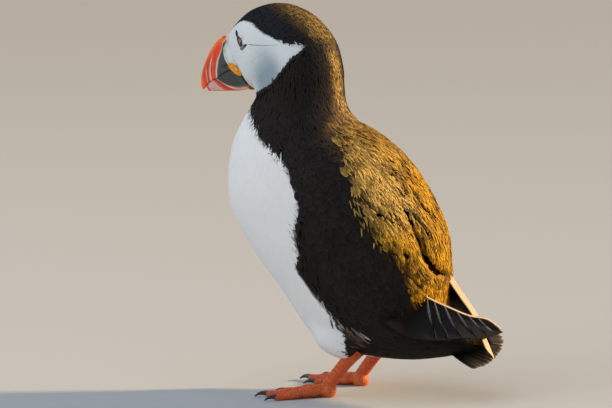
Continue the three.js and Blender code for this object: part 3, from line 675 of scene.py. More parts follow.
def markings(u, v):
    """Colour of the plumage at a place, by laying the marks over black."""
    shade = 0.95 * smooth(14.9 - u, 0, 2.2) * smooth(from_back(v), 68, 92) * smooth(150 - from_back(v), 0, 40)
    return layers(BLACK, (CAP_BLACK_SKY_TINT, smooth(u, 13.0, 14.0)), (NAPE_SUNLIT_BROWN, nape_share(u, v)),
                  (BROWN, brown_share(u, v)), (WHITE, breast_share(u, v)),
                  (mix(FACE, FACE_SHADE, column(shade)), cheek_share(u, v)))


print("colours of back and breast:", markings(np.array([6.0, 7.0]), np.array([0, np.pi])).round(3))


# %% [markdown]
# ## Skin
# One skin runs under all the feathers, from the bill to the tail, so that no seam shows between
# the solids of head, neck, trunk, wings and thighs, which it replaces. It lies inside them by
# the depth of the coat: deep on the back and neck, and thin on the white and grey parts, where
# it comes up to the eye and the bill. It carries the same marks as the feathers.

# %% Skin
# station, depth of the coat
COAT_DEPTH = [[0, 1.4], [2, 2.0], [5, 2.4], [9, 2.2], [11, 1.8], [12.5, 1.4], [14, 1.0], [16, 0.7], [18, 0.4]]
PALE_DEPTH = 0.86  # the smooth white and grey coats are thinner by this share
SKIN_GRID = (260, 144)


def coat_depth(u, v):
    return curve_at(COAT_DEPTH, u) * (1 - PALE_DEPTH * np.maximum(breast_share(u, v), cheek_share(u, v)))


feather_skin = Finish("feathered_skin", {"Roughness": 0.9, "Specular IOR Level": 0.1})
skin_grain = feather_skin.noise(900.0)
feather_skin.set(Base_Color=feather_skin.painted(skin_grain, 0.2),
                 Normal=feather_skin.bump(skin_grain, 0.0006))

u, v = body_grid(*SKIN_GRID)
flesh = ["trunk", "neck", "head", "wing_left", "wing_right", "thigh_left", "thigh_right"]
tube_piece("skin", coat_at(u, v, -coat_depth(u, v)), markings(u, v), BLACK, feather_skin,
           flesh)

# %% [markdown]
# ## Small feathers
# Contour feathers overlap like tiles, and only their soft tips show. Particle hair would look
# right in a render but leaves no mesh, so each feather is a thin closed blade instead: three
# points on each of four rings, between a root and a tip. All the blades of a region are one
# mesh, made as whole arrays: a blade's own points, along and across it, are carried onto the
# coat's surface by its slopes there, so that it bends with the body. It rises from the skin at
# its root to the outer surface at its tip, which puts every tip on top of the next root.
# The broad feathers of back and wings are vanes of five points on each ring.

# %% The shapes of a feather
def feather_shape(places, widths, camber, share, tip=None):
    """Rings of points, share of the width to either side, raised by camber times a parabola
    across them. Without a tip the blade ends in a point; with one its last ring reaches out to
    the tip in the middle, which rounds the end. Returns points (along, across, up), triangles."""
    share = np.array(share)
    n, last = len(share), len(places) - 1
    rings = []
    for ring, (t, w) in enumerate(zip(places, widths)):
        reach = t + ((tip or t) - t) * (1 - share**2) * (ring == last)
        rings.append(np.stack([reach, share * w, camber * w * (1 - share**2)], -1))
    ends = [[[1, 0, 0]]] if tip is None else []
    points = np.concatenate([[[0, 0, 0]], *rings, *ends])
    base = 1 + n * last
    faces = []
    for k in range(n):
        after = (k + 1) % n
        faces.append((0, 1 + after, 1 + k))
        for first in range(1, base, n):
            a, b, c, d = first + k, first + after, first + after + n, first + k + n
            faces += [(a, b, c), (a, c, d)]
        if tip is None:
            faces.append((base + n, base + k, base + after))
    if tip is not None:
        # the last ring's five points, closed flat
        faces += [(base, base + 1, base + 4), (base + 1, base + 3, base + 4), (base + 1, base + 2, base + 3)]
    return points, np.array(faces)[:, ::-1]


BLADE = feather_shape([0.14, 0.42, 0.70, 0.90], [0.55, 1.0, 0.90, 0.52], 0.20, [-1, 0, 1])
VANE = feather_shape([0.10, 0.34, 0.60, 0.80, 0.93], [0.45, 0.85, 1.0, 0.86, 0.52], 0.16,
                     [-1, -0.55, 0, 0.55, 1], 1.02)
for label, (points, faces) in {"blade": BLADE, "vane": VANE}.items():
    print(f"{label}: {len(points)} points, {len(faces)} triangles")

# %% [markdown]
# Roots are spread evenly by a sequence in three numbers: two give the station and the angle,
# and the third thins the roots where the surface has less area or the feathers are longer. The
# sequence never clumps as random points do, and it is the same at every run.

# %% Spreading roots
rng = np.random.default_rng(7)
SPREAD = 1.2207440846057596  # root of x^4 = x + 1
TRIAL_PLACES = 60  # each way, where the greatest number wanted is looked for


def spread_roots(stations, degrees, density):
    """Stations and angles (radians) with density(u, v) roots for each square millimetre."""
    lows = np.array([stations[0], np.radians(degrees[0])])
    spans = np.array([stations[1] - stations[0], np.radians(degrees[1] - degrees[0])])
    shares = np.linspace(0, 1, TRIAL_PLACES)
    trial = np.stack(np.meshgrid(shares, shares), -1).reshape(-1, 2) * spans + lows

    def wanted(u, v):
        return density(u, v) * read_surface(u, v, AREA) * spans.prod()

    count = int(np.ceil(wanted(trial[:, 0], trial[:, 1]).max() * 1.02))
    numbers = (0.5 + np.arange(count)[:, None] * SPREAD ** -np.arange(1.0, 4.0)) % 1
    loosened = (numbers[:, :2] + rng.normal(0, 0.6, (count, 2)) / np.sqrt(count)) % 1
    u, v = (loosened * spans + lows).T
    keep = numbers[:, 2] * count < wanted(u, v)
    return u[keep], v[keep]


def surface_steps(u, v, turn):
    """Ways along the lie of a feather and across it, and the changes of (u, v) for one
    millimetre each way. The lie points to the tail, turned towards the breast on either side."""
    found = read_surface(u, v)
    normal, along, around = found[..., NORMAL], found[..., ALONG], found[..., AROUND]
    tailward = -unit(along)
    breastward = -np.cross(normal, tailward) * column(np.sign(signed_degrees(v)))
    lie = tailward * column(np.cos(turn)) + breastward * column(np.sin(turn))
    side = np.cross(normal, lie)
    e, f, g = ((a * b).sum(-1) for a, b in ((along, along), (along, around), (around, around)))
    size = e * g - f * f
    steps = [lie, side]
    for way in (lie, side):
        p, q = (way * along).sum(-1), (way * around).sum(-1)
        steps += [(g * p - f * q) / size, (e * q - f * p) / size]
    return [step[:, None] for step in steps]


# %% [markdown]
# A feather's colour comes from the marks at its tip, a little lighter or darker than its
# neighbour's, and darker towards its hidden base as painted shade under the feathers over it.
# Each feather also has its small square on a flat unwrap of the skin, at its root's place, where
# the export can keep its colour. Real barbs are too fine to show edges, so the blades are shaded
# mostly with the body's own normals, leaning only a little to either side, which keeps the coat
# soft.

# %% Laying feathers
BAKE_PATCH = 0.003


def lay_feathers(name, u, v, template, length, width, depth, rise, turn, colour, finish,
                 bend=0.0, relief=0.3, slant=0.5, camber=1.0):
    """One mesh of feathers rooted at (u, v). Each template point (along, across, up) goes
    length * along and width / 2 * across over the surface. Its lift is rise less a slant over
    the whole feather, less depth * (1 - along)^4, plus camber * width / 2 * up."""
    shape, faces = template
    along, across, up = shape.T * np.array([[1], [1], [camber]])
    lie_way, side_way, du_lie, dv_lie, du_side, dv_side = surface_steps(u, v, turn)
    length, width = length[:, None], width[:, None]
    ahead = along * length
    aside = across * width / 2 + bend * along**2 * length
    place_u = u[:, None] + ahead * du_lie + aside * du_side
    place_v = v[:, None] + ahead * dv_lie + aside * dv_side
    buried = 1 - np.minimum(along, 1)
    lift = rise[:, None] - slant * buried - depth[:, None] * buried**4 + width / 2 * up
    points = coat_at(place_u, place_v, lift)
    count, size = points.shape[:2]
    all_faces = (faces[None] + size * np.arange(count)[:, None, None]).reshape(-1, faces.shape[1])
    tint = colour(u, v, place_u, place_v, along, across, count)
    lie = np.stack([aside, ahead, np.arange(count)[:, None] * 7.31 + 0 * along], -1)
    thing = piece(name, points, all_faces, finish, (), tint, {"lie": lie})
    patch_u = (v / (2 * np.pi) % 1)[:, None] * (1 - BAKE_PATCH) + (across * 0.5 + 0.5) * BAKE_PATCH
    patch_v = (np.clip(u, 0, BILL_BASE) / BILL_BASE)[:, None] * (1 - BAKE_PATCH) + along * BAKE_PATCH
    bake = np.stack([patch_u, patch_v], -1).reshape(-1, 2)[all_faces.ravel()]
    layer = thing.data.uv_layers.new(name="OFBake")
    layer.uv.foreach_set("vector", bake.astype(np.float32).ravel())
    lean = side_way * column(across) + lie_way * 0.35
    normals = unit(read_surface(place_u, place_v, NORMAL) + relief * lean).reshape(-1, 3)
    thing.data.normals_split_custom_set_from_vertices(normals.tolist())


# %% [markdown]
# Plumage is matt, with a faint sheen on its barbs. The finish multiplies each feather's colour
# by streaks that run along it, and the same streaks raise the surface a little.

# %% Finish of the small feathers
def plumage(name, streak, gloss, roughness=0.8):
    """Soft feathers: the painted colour with streaks across the blade every third of a mm."""
    finish = Finish(name, {"Roughness": roughness, "Specular IOR Level": gloss})
    lie = finish.attribute("lie", "Vector")
    across = finish.add("ShaderNodeVectorMath", {"operation": "MULTIPLY"}, {0: lie, 1: (3.2, 0.28, 1.0)})
    barbs = finish.noise(1.0, 2.0, 0.6, across)
    shade = finish.fade(barbs, 0.30, 0.70, 1.0 - streak, 1.0 + streak)
    finish.set(Base_Color=finish.painted(shade), Normal=finish.bump(barbs, 0.00012, 0.6))
    return finish


white_plumage = plumage("white_plumage", 0.025, 0.15)
face_plumage = plumage("face_plumage", 0.03, 0.15)
dark_plumage = plumage("dark_plumage", 0.25, 0.10, 0.7)

# %% [markdown]
# Lengths and widths change over the body: the feathers of the face are only two or three
# millimetres long and those of the belly a centimetre. Regions are laid as pieces of their
# own, each small enough to keep its mesh whole.

# %% Sizes of small feathers and kinds of coat
# station, length, width
FEATHER_SIZE = [[0, 13, 1.7], [2, 11, 1.4], [5, 10, 1.2], [8, 9, 1.1], [10, 7.5, 1.0], [11.3, 6, 0.9],
                [12.6, 5.0, 0.85], [14, 4.2, 0.8], [16, 3.4, 0.75], [18, 2.2, 0.6]]
EXPOSED_SHAPE = 0.68  # a blade's area as a share of its length times its width
# cover: feathers over one another; rise, its differences and slant in mm; scatter in degrees;
# overhang: share of its length kept by a feather whose tip would pass its region's border
# one share in each coat is painted shade that darkens every feather towards its hidden base
SOFT_COAT = {"cover": 3.8, "broad": 1.1, "variation": 0.16, "painted_base_shade": 0.2, "scatter": 8, "rise": 0.0,
             "uneven": 0.05, "relief": 0.20, "slant": 0.20, "camber": 0.8, "overhang": 0.5}
SMOOTH_COAT = {**SOFT_COAT, "cover": 7.6, "broad": 1.3, "variation": 0.02, "painted_base_shade": 0.0, "scatter": 5,
               "uneven": 0.015, "relief": 0.05, "slant": 0.06, "camber": 0.9}
# station, angle and reach in millimetres of the eye and its plates and of the rosette
FITTINGS = [(15.95, 77, 2.6), (16.05, 80, 2.4), (17.3, 106, 2.6)]
FACE_SCALE = (11.0, 0.36)  # millimetres, about, for a station and for a degree on the face


# %% Laying a region
def near_face_fittings(u, v):
    """True where eyes, their plates, the rosettes or the bill leave no room for feathers."""
    taken = u > curve_at(FACE_FRONT, from_back(v)) - 0.05
    for station, angle, reach in FITTINGS:
        away = np.hypot((u - station) * FACE_SCALE[0], (from_back(v) - angle) * FACE_SCALE[1])
        taken = taken | (away < reach)
    return taken


def plain_tint(variation, painted_base_shade):
    """Marks at the tip, times a chance of its own for each feather, with painted shade darkening it towards
    its hidden base.
    """
    def colour(u, v, place_u, place_v, along, across, count):
        base = markings(place_u[:, -1], place_v[:, -1])[:, None, :]
        own = 1 + variation * rng.uniform(-1, 1, (count, 1, 1))
        return base * own * (1 - painted_base_shade * (1 - along)[None, :, None])
    return colour


def small_feathers(name, stations, degrees, inside, finish, slot, coat, tint=None, size=1.0, lie=None):
    """Lays small feathers of the local size over the part of a patch where inside(u, v) holds;
    lie(u, v) turns them away from the way to the tail."""
    def density(u, v):
        length, width = np.moveaxis(curve_at(FEATHER_SIZE, u), -1, 0)
        room = inside(u, v) * (~near_face_fittings(u, v))
        return room * coat["cover"] / (EXPOSED_SHAPE * length * width * coat["broad"] * size**2)

    u, v = spread_roots(stations, degrees, density)
    count = len(u)
    length, width = np.moveaxis(curve_at(FEATHER_SIZE, u), -1, 0) * size
    length = length * rng.uniform(0.8, 1.2, count)
    width = width * coat["broad"] * rng.uniform(0.8, 1.2, count)
    tip_u = u - length / np.linalg.norm(read_surface(u, v, ALONG), axis=-1)
    length = np.where(inside(tip_u, v), length, coat["overhang"] * length)
    turn = np.radians(rng.normal(0, coat["scatter"], count)) + (lie(u, v) if lie else 0)
    lift = coat["rise"] + coat["uneven"] * rng.uniform(-1, 1, count)
    bend = rng.normal(0, 0.05, (count, 1))
    tint = tint or plain_tint(coat["variation"], coat["painted_base_shade"])
    lay_feathers(name, u, v, BLADE, length, width, coat_depth(u, v), lift, turn, tint, finish, bend,
                 coat["relief"], coat["slant"], coat["camber"])


# %% Regions over the body
def on_side(side, low, high):
    """Two angles of the left side, or the same ones on the right side, the lower one first."""
    return sorted((SIDES[side] * low, SIDES[side] * high))


def white(u, v):
    return breast_share(u, v) > 0.5


def cheek(u, v):
    return cheek_share(u, v) > 0.5


def dark(u, v):
    return ~white(u, v) & ~cheek(u, v)


REGIONS = [
    ("cheek", (11.5, 18), cheek, face_plumage, "face_feathers", SMOOTH_COAT),
    ("head", (11.6, 18), dark, dark_plumage, "dark_feathers", SOFT_COAT),
    ("neck", (8.8, 11.6), dark, dark_plumage, "dark_feathers", SOFT_COAT),
    ("breast", (5.6, 10.6), white, white_plumage, "belly_feathers", SMOOTH_COAT),
    ("belly", (-0.2, 5.6), white, white_plumage, "belly_feathers", SMOOTH_COAT),
    ("body", (-0.2, 8.8), dark, dark_plumage, "dark_feathers", SOFT_COAT),
]
for side in SIDES:
    for region, stations, *look in REGIONS:
        small_feathers(f"coat_{region}_{side}", stations, on_side(side, 0, 180), *look)

# %% [markdown]
# Behind the thigh some long dark brown flank feathers hang over the white of the belly. Their
# tips are loose and paler, so they lie a little higher than the coat and turn downwards.

# %% Flank feathers
FLANK_COAT = {"cover": 2.2, "broad": 1.2, "scatter": 9, "rise": 0.35, "uneven": 0.15, "relief": 0.25,
              "slant": 0.30, "camber": 1.0, "overhang": 1.0}
FLANK_LINE = [[4.25, 115], [4.0, 111], [3.75, 107], [3.35, 104], [3.05, 106], [2.9, 110]]
FLANK_BROWN = rgb(0.060, 0.046, 0.034)
FLANK_PALE = rgb(0.50, 0.49, 0.46)


def flank(u, v):
    """Between the flank line and the white, behind the thigh."""
    degrees = from_back(v)
    _, side = from_line(FLANK_LINE, u, degrees)
    below = (side < 0) & (degrees < curve_at(BREAST_EDGE, u) + 1.5)
    return below & (u > FLANK_LINE[-1][0]) & (u < FLANK_LINE[0][0])


def flank_tint(u, v, place_u, place_v, along, across, count):
    """Dark brown, and pale along the line at the top of the patch."""
    pale = bell(from_line(FLANK_LINE, u, from_back(v))[0], 0, 1.3) * rng.uniform(0, 1, count)
    own = FLANK_BROWN * rng.uniform(0.5, 1.6, (count, 1, 1))
    return mix(own, FLANK_PALE, pale[:, None, None] * smooth(along, 0.0, 0.6)[None, :, None])


for side in SIDES:
    small_feathers(f"coat_flank_{side}", (2.8, 4.4), on_side(side, 98, 140), flank, dark_plumage,
                   "dark_feathers", FLANK_COAT, flank_tint, 0.85, lambda u, v: np.radians(10) + 0 * u)

# %% [markdown]
# A fine dark crease runs back from the eye, where the grey feathers part. It is a row of narrow
# dark blades along that line, just over the cheek's coat.

# %% Crease behind the eye
CREASE_TINT = rgb(0.115, 0.125, 0.13)
CREASE_BLADES = 90
CREASE_MEASURES = (2.2, 0.3, 0.10)  # length, depth of the root, rise
CREASE_WIDTHS = (0.42, 0.24)
crease_share = np.linspace(0, 1, CREASE_BLADES)
crease_u, crease_degrees = spline(CREASE, crease_share * (len(CREASE) - 1)).T
crease_slope = np.gradient(crease_degrees) * FACE_SCALE[1] / (np.gradient(crease_u) * -FACE_SCALE[0])


def crease_tint(u, v, place_u, place_v, along, across, count):
    """Darkest at the eye, fading into the face."""
    return mix(FACE, CREASE_TINT, (1 - 0.6 * crease_share)[:, None, None]) + 0 * along[None, :, None]


for side, sign in SIDES.items():
    length, depth, rise = (np.full(CREASE_BLADES, value) for value in CREASE_MEASURES)
    lay_feathers(f"coat_crease_{side}", crease_u, sign * np.radians(crease_degrees), BLADE, length,
                 mix(*CREASE_WIDTHS, crease_share), depth, rise, np.arctan(crease_slope), crease_tint,
                 face_plumage, 0.0, 0.05, 0.05)

# %% [markdown]
# ## Larger feathers of back, shoulders and wing
# The feathers of mantle, shoulders and wing coverts are broad and lie in rows, staggered like
# tiles. Worn summer feathers are brown with ochre edges, which the painted colour gives along
# rim and tip; the ochre is brighter and more golden than the worn edges, as painted sunlight.
# The barbs slant from the shaft to the rim in the finish.

# %% Rows and finish of the vanes
def vane_rows(rows, spacing, edges):
    """Staggered roots: at each station of rows, one root every spacing(u) millimetres between
    the two angles edges(u) gives, every other row half a space on, with a little looseness."""
    us, vs = [], []
    for k, u in enumerate(rows):
        ring = np.linspace(*np.radians(edges(u)), 200)
        around = np.linalg.norm(read_surface(np.full(200, u), ring, AROUND), axis=-1)
        arc = np.concatenate([[0], np.cumsum((around[1:] + around[:-1]) / 2 * np.diff(ring))])
        gap = spacing(u)
        places = np.arange(gap * (0.25 + 0.5 * (k % 2)), arc[-1], gap)
        vs.append(np.interp(places + rng.normal(0, 0.10, len(places)) * gap, arc, ring))
        us.append(np.full(len(places), u) + rng.normal(0, 0.02, len(places)))
    return np.concatenate(us), np.concatenate(vs)


def vane_finish(name, streak, gloss):
    """Barbs that slant from the shaft to the rim: noise drawn out along ahead + |aside| and fine
    along ahead - |aside|, which lightens, darkens and raises the vane."""
    finish = Finish(name, {"Roughness": 0.62, "Specular IOR Level": gloss})
    lie = finish.add("ShaderNodeSeparateXYZ", None, {0: finish.attribute("lie", "Vector")})
    aside, ahead, chance = (Wire(finish, socket) for socket in lie.socket.node.outputs)
    aside = finish.add("ShaderNodeMath", {"operation": "ABSOLUTE"}, {0: aside})
    where = finish.add("ShaderNodeCombineXYZ", None,
                       {0: (ahead - aside * 0.8) * 2.6, 1: (ahead + aside) * 0.22, 2: chance})
    barbs = finish.noise(1.0, 3.0, 0.65, where)
    shade = finish.fade(barbs, 0.28, 0.72, 1.0 - streak, 1.0 + streak)
    shade = shade * finish.fade(aside, 0.10, 0.28, 0.55, 1.0)
    finish.set(Base_Color=finish.painted(shade), Normal=finish.bump(barbs, 0.00025, 0.8))
    return finish


brown_vanes = vane_finish("brown_vanes", 0.55, 0.10)
dark_vanes = vane_finish("dark_vanes", 0.30, 0.10)

# %% Colours and sizes of the brown feathers
# ochre, buff and pale ochre: the worn edges' colour, brightened to gold as painted sunlight on the back
OCHRE = rgb(0.86, 0.42, 0.004)
BUFF = rgb(0.80, 0.50, 0.125)
PALE_OCHRE = rgb(0.92, 0.58, 0.13)
DARK_CENTRE = rgb(0.060, 0.032, 0.008)
# station, length, width
BROWN_SIZE = [[2.6, 18, 8.0], [3.4, 17, 7.6], [4.5, 15, 7.0], [6.0, 13, 6.2], [7.5, 11, 5.4], [9.2, 8.5, 4.6]]
BROWN_ROWS = np.arange(3.15, 9.3, 0.215)
BROWN_SPACING = 0.62  # of a feather's width
VANE_RISE, VANE_DEPTH = 0.35, 1.6


# %% Tints of the worn feathers
def patches(u, v, scale, start=0.0):
    """Soft patches over the back, -1 to 1: a few waves of different lengths and directions."""
    x, y = u * LINE_SCALE[0] / scale, signed_degrees(v) * LINE_SCALE[1] / scale
    return (np.sin(1.9 * x + 2.3 * np.sin(1.1 * y + start)) + np.sin(2.7 * y + 1.7 * np.sin(1.3 * x + 2))
            + np.sin(4.3 * x + 3.1 * y + start)) / 3


def ochre_at(u, v):
    """Deep ochre in the middle of the back and low on the shoulders, a duller buff over their
    upper parts, with two axes added."""
    outer = smooth(from_back(v), 14, 30) * smooth(u, 5.2, 6.3)
    return mix(OCHRE, BUFF, np.maximum(outer, 0.6 * smooth(u, 6.6, 7.8))[:, None, None])


def with_painted_shade(colour, start, end, u, v, depth):
    """The colour with painted shade: darker at the hidden root, from start there to end at the tip, and dark
    where vanes part and at the cleft, as the shadow in those gaps.
    """
    gap_shadow_share = np.maximum(gap_share(u, v), cleft_share(u, v))
    return colour * (start + end)[None, :, None] * (1 - depth * column(gap_shadow_share))


def worn_tint(u, v, place_u, place_v, along, across, count):
    """Dark centre, ochre along the rim and the tip, more worn on some feathers than others."""
    worn = np.clip(0.50 + 0.40 * patches(u, v, 9.0)[:, None] + rng.uniform(-0.3, 0.3, (count, 1)), 0.05, 1.0)
    rim = np.clip(0.35 + 0.5 * smooth(np.abs(across), 0.25, 0.95) + 0.5 * smooth(along, 0.55, 0.95), 0, 1)
    colour = mix(DARK_CENTRE, ochre_at(u, v), column(rim[None] * worn))
    # painted shade: darker towards the hidden root and in the gaps and the cleft
    return with_painted_shade(colour, 0.5, 0.5 * along, place_u, place_v, 0.85)


# %% Brown feathers of mantle and shoulders
def lay_vanes(name, u, v, sizes, turn, tint, finish, relief, uneven=0.12):
    """Vanes of the local size with differences of size, turn and rise, by the share uneven."""
    count = len(u)
    length, width = np.moveaxis(curve_at(sizes, u), -1, 0)
    length = length * rng.uniform(1 - uneven, 1 + uneven, count)
    width = width * rng.uniform(1 - uneven, 1 + uneven, count)
    turn = turn + np.radians(rng.normal(0, 50 * uneven, count))
    lift = VANE_RISE + rng.uniform(-0.12, 0.25, count)
    bend = rng.normal(0, 0.04, (count, 1))
    lay_feathers(name, u, v, VANE, length, width, np.full(count, VANE_DEPTH), lift, turn, tint, finish,
                 bend, relief)


def brown_turn(u, v):
    """The shoulder feathers turn in towards the middle of the back low down."""
    degrees = from_back(v)
    inward = np.radians(-26) * smooth(5.4 - u, 0, 1.6) * smooth(degrees, 8, 30)
    return inward + np.radians(6) * smooth(degrees, 30, 60)


u, v = vane_rows(BROWN_ROWS, lambda u: curve_at(BROWN_SIZE, u)[1] * BROWN_SPACING, lambda u: (-70, 70))
kept = brown_share(u - 0.50, v) > 0.9
for side, sign in SIDES.items():
    mine = kept & (np.sign(signed_degrees(v)) == sign)
    lay_vanes(f"coat_shoulder_{side}", u[mine], v[mine], BROWN_SIZE, brown_turn(u[mine], v[mine]), worn_tint,
              brown_vanes, 0.15, 0.25)

# %% [markdown]
# The worn rims of these feathers are frayed into loose barbs. A thin layer of narrow blades
# over the vanes, in mixed tones from dark brown to pale ochre, gives the back its hairy, mottled
# look. They part at the gaps, stray over the black of the wing, and run up the nape, where only
# a few catch the light.

# %% Loose barbs over the back
HAIRY_COAT = {"cover": 2.9, "broad": 1.0, "scatter": 8, "rise": 1.2, "uneven": 0.22, "relief": 0.25,
              "slant": 0.7, "camber": 0.8, "overhang": 1.0}
NAPE_COAT = {**HAIRY_COAT, "cover": 1.8, "rise": 0.22, "uneven": 0.10, "slant": 0.45}
STRAY = (0.10, 2.0)  # stations, degrees
BARB_TIP = 0.20  # stations from a barb's root to where it has to be over brown
BARB_PLACES = (0, 0.12, 0.24, 0.36)  # stations: no part of a barb lies over a gap


def frayed_tint(u, v, place_u, place_v, along, across, count):
    """Dark brown to pale ochre: by patches and by chance, darker towards the border, and darker towards the
    base as painted shade.
    """
    tone = 0.74 + 0.42 * patches(u, v, 9.0) + 0.46 * patches(u, v, 3.6, 1.5) + rng.normal(0, 0.13, count)
    degrees = from_back(v)
    tone += 0.34 * bell(degrees, 42, 15) * bell(u, 6.4, 0.8) - 0.32 * smooth(u, 7.5, 8.8)
    tone += (0.42 * patches(u, v, 2.2, 3.3) - 0.22 * smooth(degrees, 20, 45)) * smooth(5.6 - u, 0, 0.8)
    tone -= 0.36 * smooth(8 - curve_at(BROWN_EDGE, u) + degrees, 0, 8)
    tone = np.clip(tone, 0, 1.3)[:, None, None]
    colour = mix(DARK_CENTRE, ochre_at(u, v), np.minimum(tone, 1))
    colour = mix(colour, PALE_OCHRE, np.clip(tone - 0.9, 0, 0.4))
    # painted shade: darker towards the hidden root and in the gaps and the cleft
    return with_painted_shade(colour, 0.35, 0.65 * along, place_u, place_v, 0.9)


def on_brown(u, v):
    """The brown feathers' region with an edge that wanders from barb to barb, less the gaps."""
    stray = rng.normal(0, 1, (2, len(u)))
    inside = brown_share(u - BARB_TIP + STRAY[0] * stray[0], v + np.radians(STRAY[1]) * stray[1]) > 0.5
    for before in BARB_PLACES:
        inside &= (cleft_share(u - before, v) < 0.5) & (gap_share(u - before, v) < 0.6)
    return inside


def nape_tint(u, v, place_u, place_v, along, across, count):
    """Brown where the nape is brown, with flecks from black to pale ochre by patches and chance, and painted
    shade darkening each towards its base.
    """
    tone = 0.55 + 0.45 * patches(u, v, 5.0, 2.2) + rng.normal(0, 0.30, count)
    tone = (np.clip(tone, 0.05, 1.3) * nape_share(u, v) * (1 - 0.25 * smooth(10.4 - u, 0, 1)))[:, None, None]
    colour = mix(BLACK, BUFF, np.minimum(tone, 1)) + 0 * along[None, :, None]
    return mix(colour, PALE_OCHRE, np.clip(tone - 0.9, 0, 0.4)) * (0.4 + 0.6 * along)[None, :, None]


def on_nape(u, v):
    return (nape_share(u, v) > 0.12) & (brown_share(u, v) < 0.6)


def barb_turn(u, v):
    return brown_turn(u, v) + np.radians(11) * patches(u, v, 4.5, 0.7)


for side in SIDES:
    small_feathers(f"coat_frayed_{side}", (3.0, 9.1), on_side(side, -2, 78), on_brown, brown_vanes,
                   "dark_feathers", HAIRY_COAT, frayed_tint, 0.78, barb_turn)
    small_feathers(f"coat_nape_{side}", (8.7, 15.0), on_side(side, -2, 78), on_nape, brown_vanes,
                   "dark_feathers", NAPE_COAT, nape_tint, 0.8)

# %% [markdown]
# The folded wing below the brown is black, with the rims of its coverts a little paler. Their
# rows run between the two edges of the wing, which the solids have too.

# %% Black coverts of the wing
COVERT_SIZE = [[2.6, 15, 6.2], [4, 12, 5.4], [6, 9, 4.6], [9, 6.5, 3.6]]
COVERT_ROWS = np.arange(2.9, 8.8, 0.20)
COVERT_SPACING = 0.66  # of a feather's width


def covert_tint(u, v, place_u, place_v, along, across, count):
    """Black with a slightly paler rim, and painted shade darkening each towards its hidden base."""
    rim = np.clip(smooth(np.abs(across), 0.6, 1.0) + smooth(along, 0.85, 1.0), 0, 1)
    colour = mix(BLACK, BLACK * 1.7, rim[None, :, None] * rng.uniform(0.1, 1.0, (count, 1, 1)))
    return colour * (0.6 + 0.4 * along)[None, :, None] * rng.uniform(0.8, 1.2, (count, 1, 1))


for side in SIDES:
    u, v = vane_rows(COVERT_ROWS, lambda u: curve_at(COVERT_SIZE, u)[1] * COVERT_SPACING,
                     lambda u: on_side(side, *(curve_at(WING, u)[:2] + np.array([0, 1.0]))))
    kept = brown_share(u, v) < 0.5
    lay_vanes(f"coat_coverts_{side}", u[kept], v[kept], COVERT_SIZE, np.full(kept.sum(), np.radians(-4)),
              covert_tint, dark_vanes, 0.25)

# %% [markdown]
# ## Bill
# The bill is two mandibles of horn behind a raised pale strip, the cere. The outer half is
# orange-red with curved grooves, a cream ridge parts it from the slate-blue base, and a bright
# ridge runs over the top. Both mandibles are rings carried forward from the face: each ring
# goes from one mouth line over the ridge to the other, as the solids' rings do, so that the
# grooves and the ridge are simply places along the bill.

# %% Profiles of the bill
# how far along, x, z, in the middle plane with the head straight ahead
CULMEN = [[0.2, -70.2, 200.2], [0.4, -71.6, 199.4], [0.55, -75.9, 196.2], [0.7, -80.6, 190.3],
          [0.85, -84.7, 183.0], [0.95, -87.0, 176.5], [1, -87.6, 170.6]]
GAPE = [[0.2, -63.6, 181.0], [0.4, -69.5, 178.6], [0.55, -73.5, 176.2], [0.7, -77.5, 174.8],
        [0.85, -81.3, 172.8], [0.95, -84.2, 170.7], [1, -86.2, 169.0]]
KEEL = [[0.2, -50.6, 171.3], [0.4, -53.6, 170.7], [0.55, -59.6, 169.4], [0.7, -66.6, 168.9],
        [0.85, -75.2, 168.5], [1, -82.4, 168.2]]
BILL_HALF_WIDTH = [[0, 7.7], [0.2, 6.8], [0.4, 5.8], [0.55, 4.8], [0.7, 3.7], [0.85, 2.5], [1, 0.9]]
GAPE_SHARE = 0.6
SEAM = 0.3
CERE_LENGTH = 2.2
MOUTH_GAP = 0.45
LOWER_REACH = 0.93
LOWER_INSET = 0.2
ROUND_SECTION, UPPER_SECTION, LOWER_SECTION = 0.5, 0.62, 0.75
UPPER_START, LOWER_START = 2 * SEAM + CERE_LENGTH, 3 * SEAM
RING_POINTS = 81
ring_side = np.linspace(-1, 1, RING_POINTS)
side_share = np.abs(ring_side)

base_top, base_bottom = STATIONS[-1, 0:2], STATIONS[-1, 2:4]
base_ahead = unit(np.array([base_bottom[1] - base_top[1], base_top[0] - base_bottom[0]]))


# %% Rings of the two mandibles
def base_point(share, ahead):
    """Point on the bill's slanting base, from its top to the chin, moved ahead of the face."""
    return mix(base_top, base_bottom, share) + base_ahead * ahead


def profile_at(rows, along, share, ahead):
    """The profile's curve from its place on the base line."""
    return curve_at(np.vstack([[0, *base_point(share, ahead)], rows]), along)


def bill_rings(ridge, mouth, half, section):
    """Rings from one mouth corner over the ridge to the other. Down the side, a ring falls from
    ridge to mouth as 1 - cos, and swells to its half width as (1 - (1 - d)^2)^section."""
    bulge = (1 - (1 - side_share) ** 2) ** column(section)
    fall = column(1 - np.cos(side_share * np.pi / 2))
    place = mix(ridge[:, None, :], mouth[:, None, :], fall)
    return turned(place[..., 0], np.sign(ring_side) * column(half) * bulge, place[..., 1])


def upper_rings(along):
    """The upper mandible's rings, from the ridge of the bill to its mouth line."""
    ridge = profile_at(CULMEN, along, 0, UPPER_START)
    mouth = profile_at(GAPE, along, GAPE_SHARE, UPPER_START)
    half = curve_at(BILL_HALF_WIDTH, along)
    return bill_rings(ridge, mouth, half, mix(ROUND_SECTION, UPPER_SECTION, along))


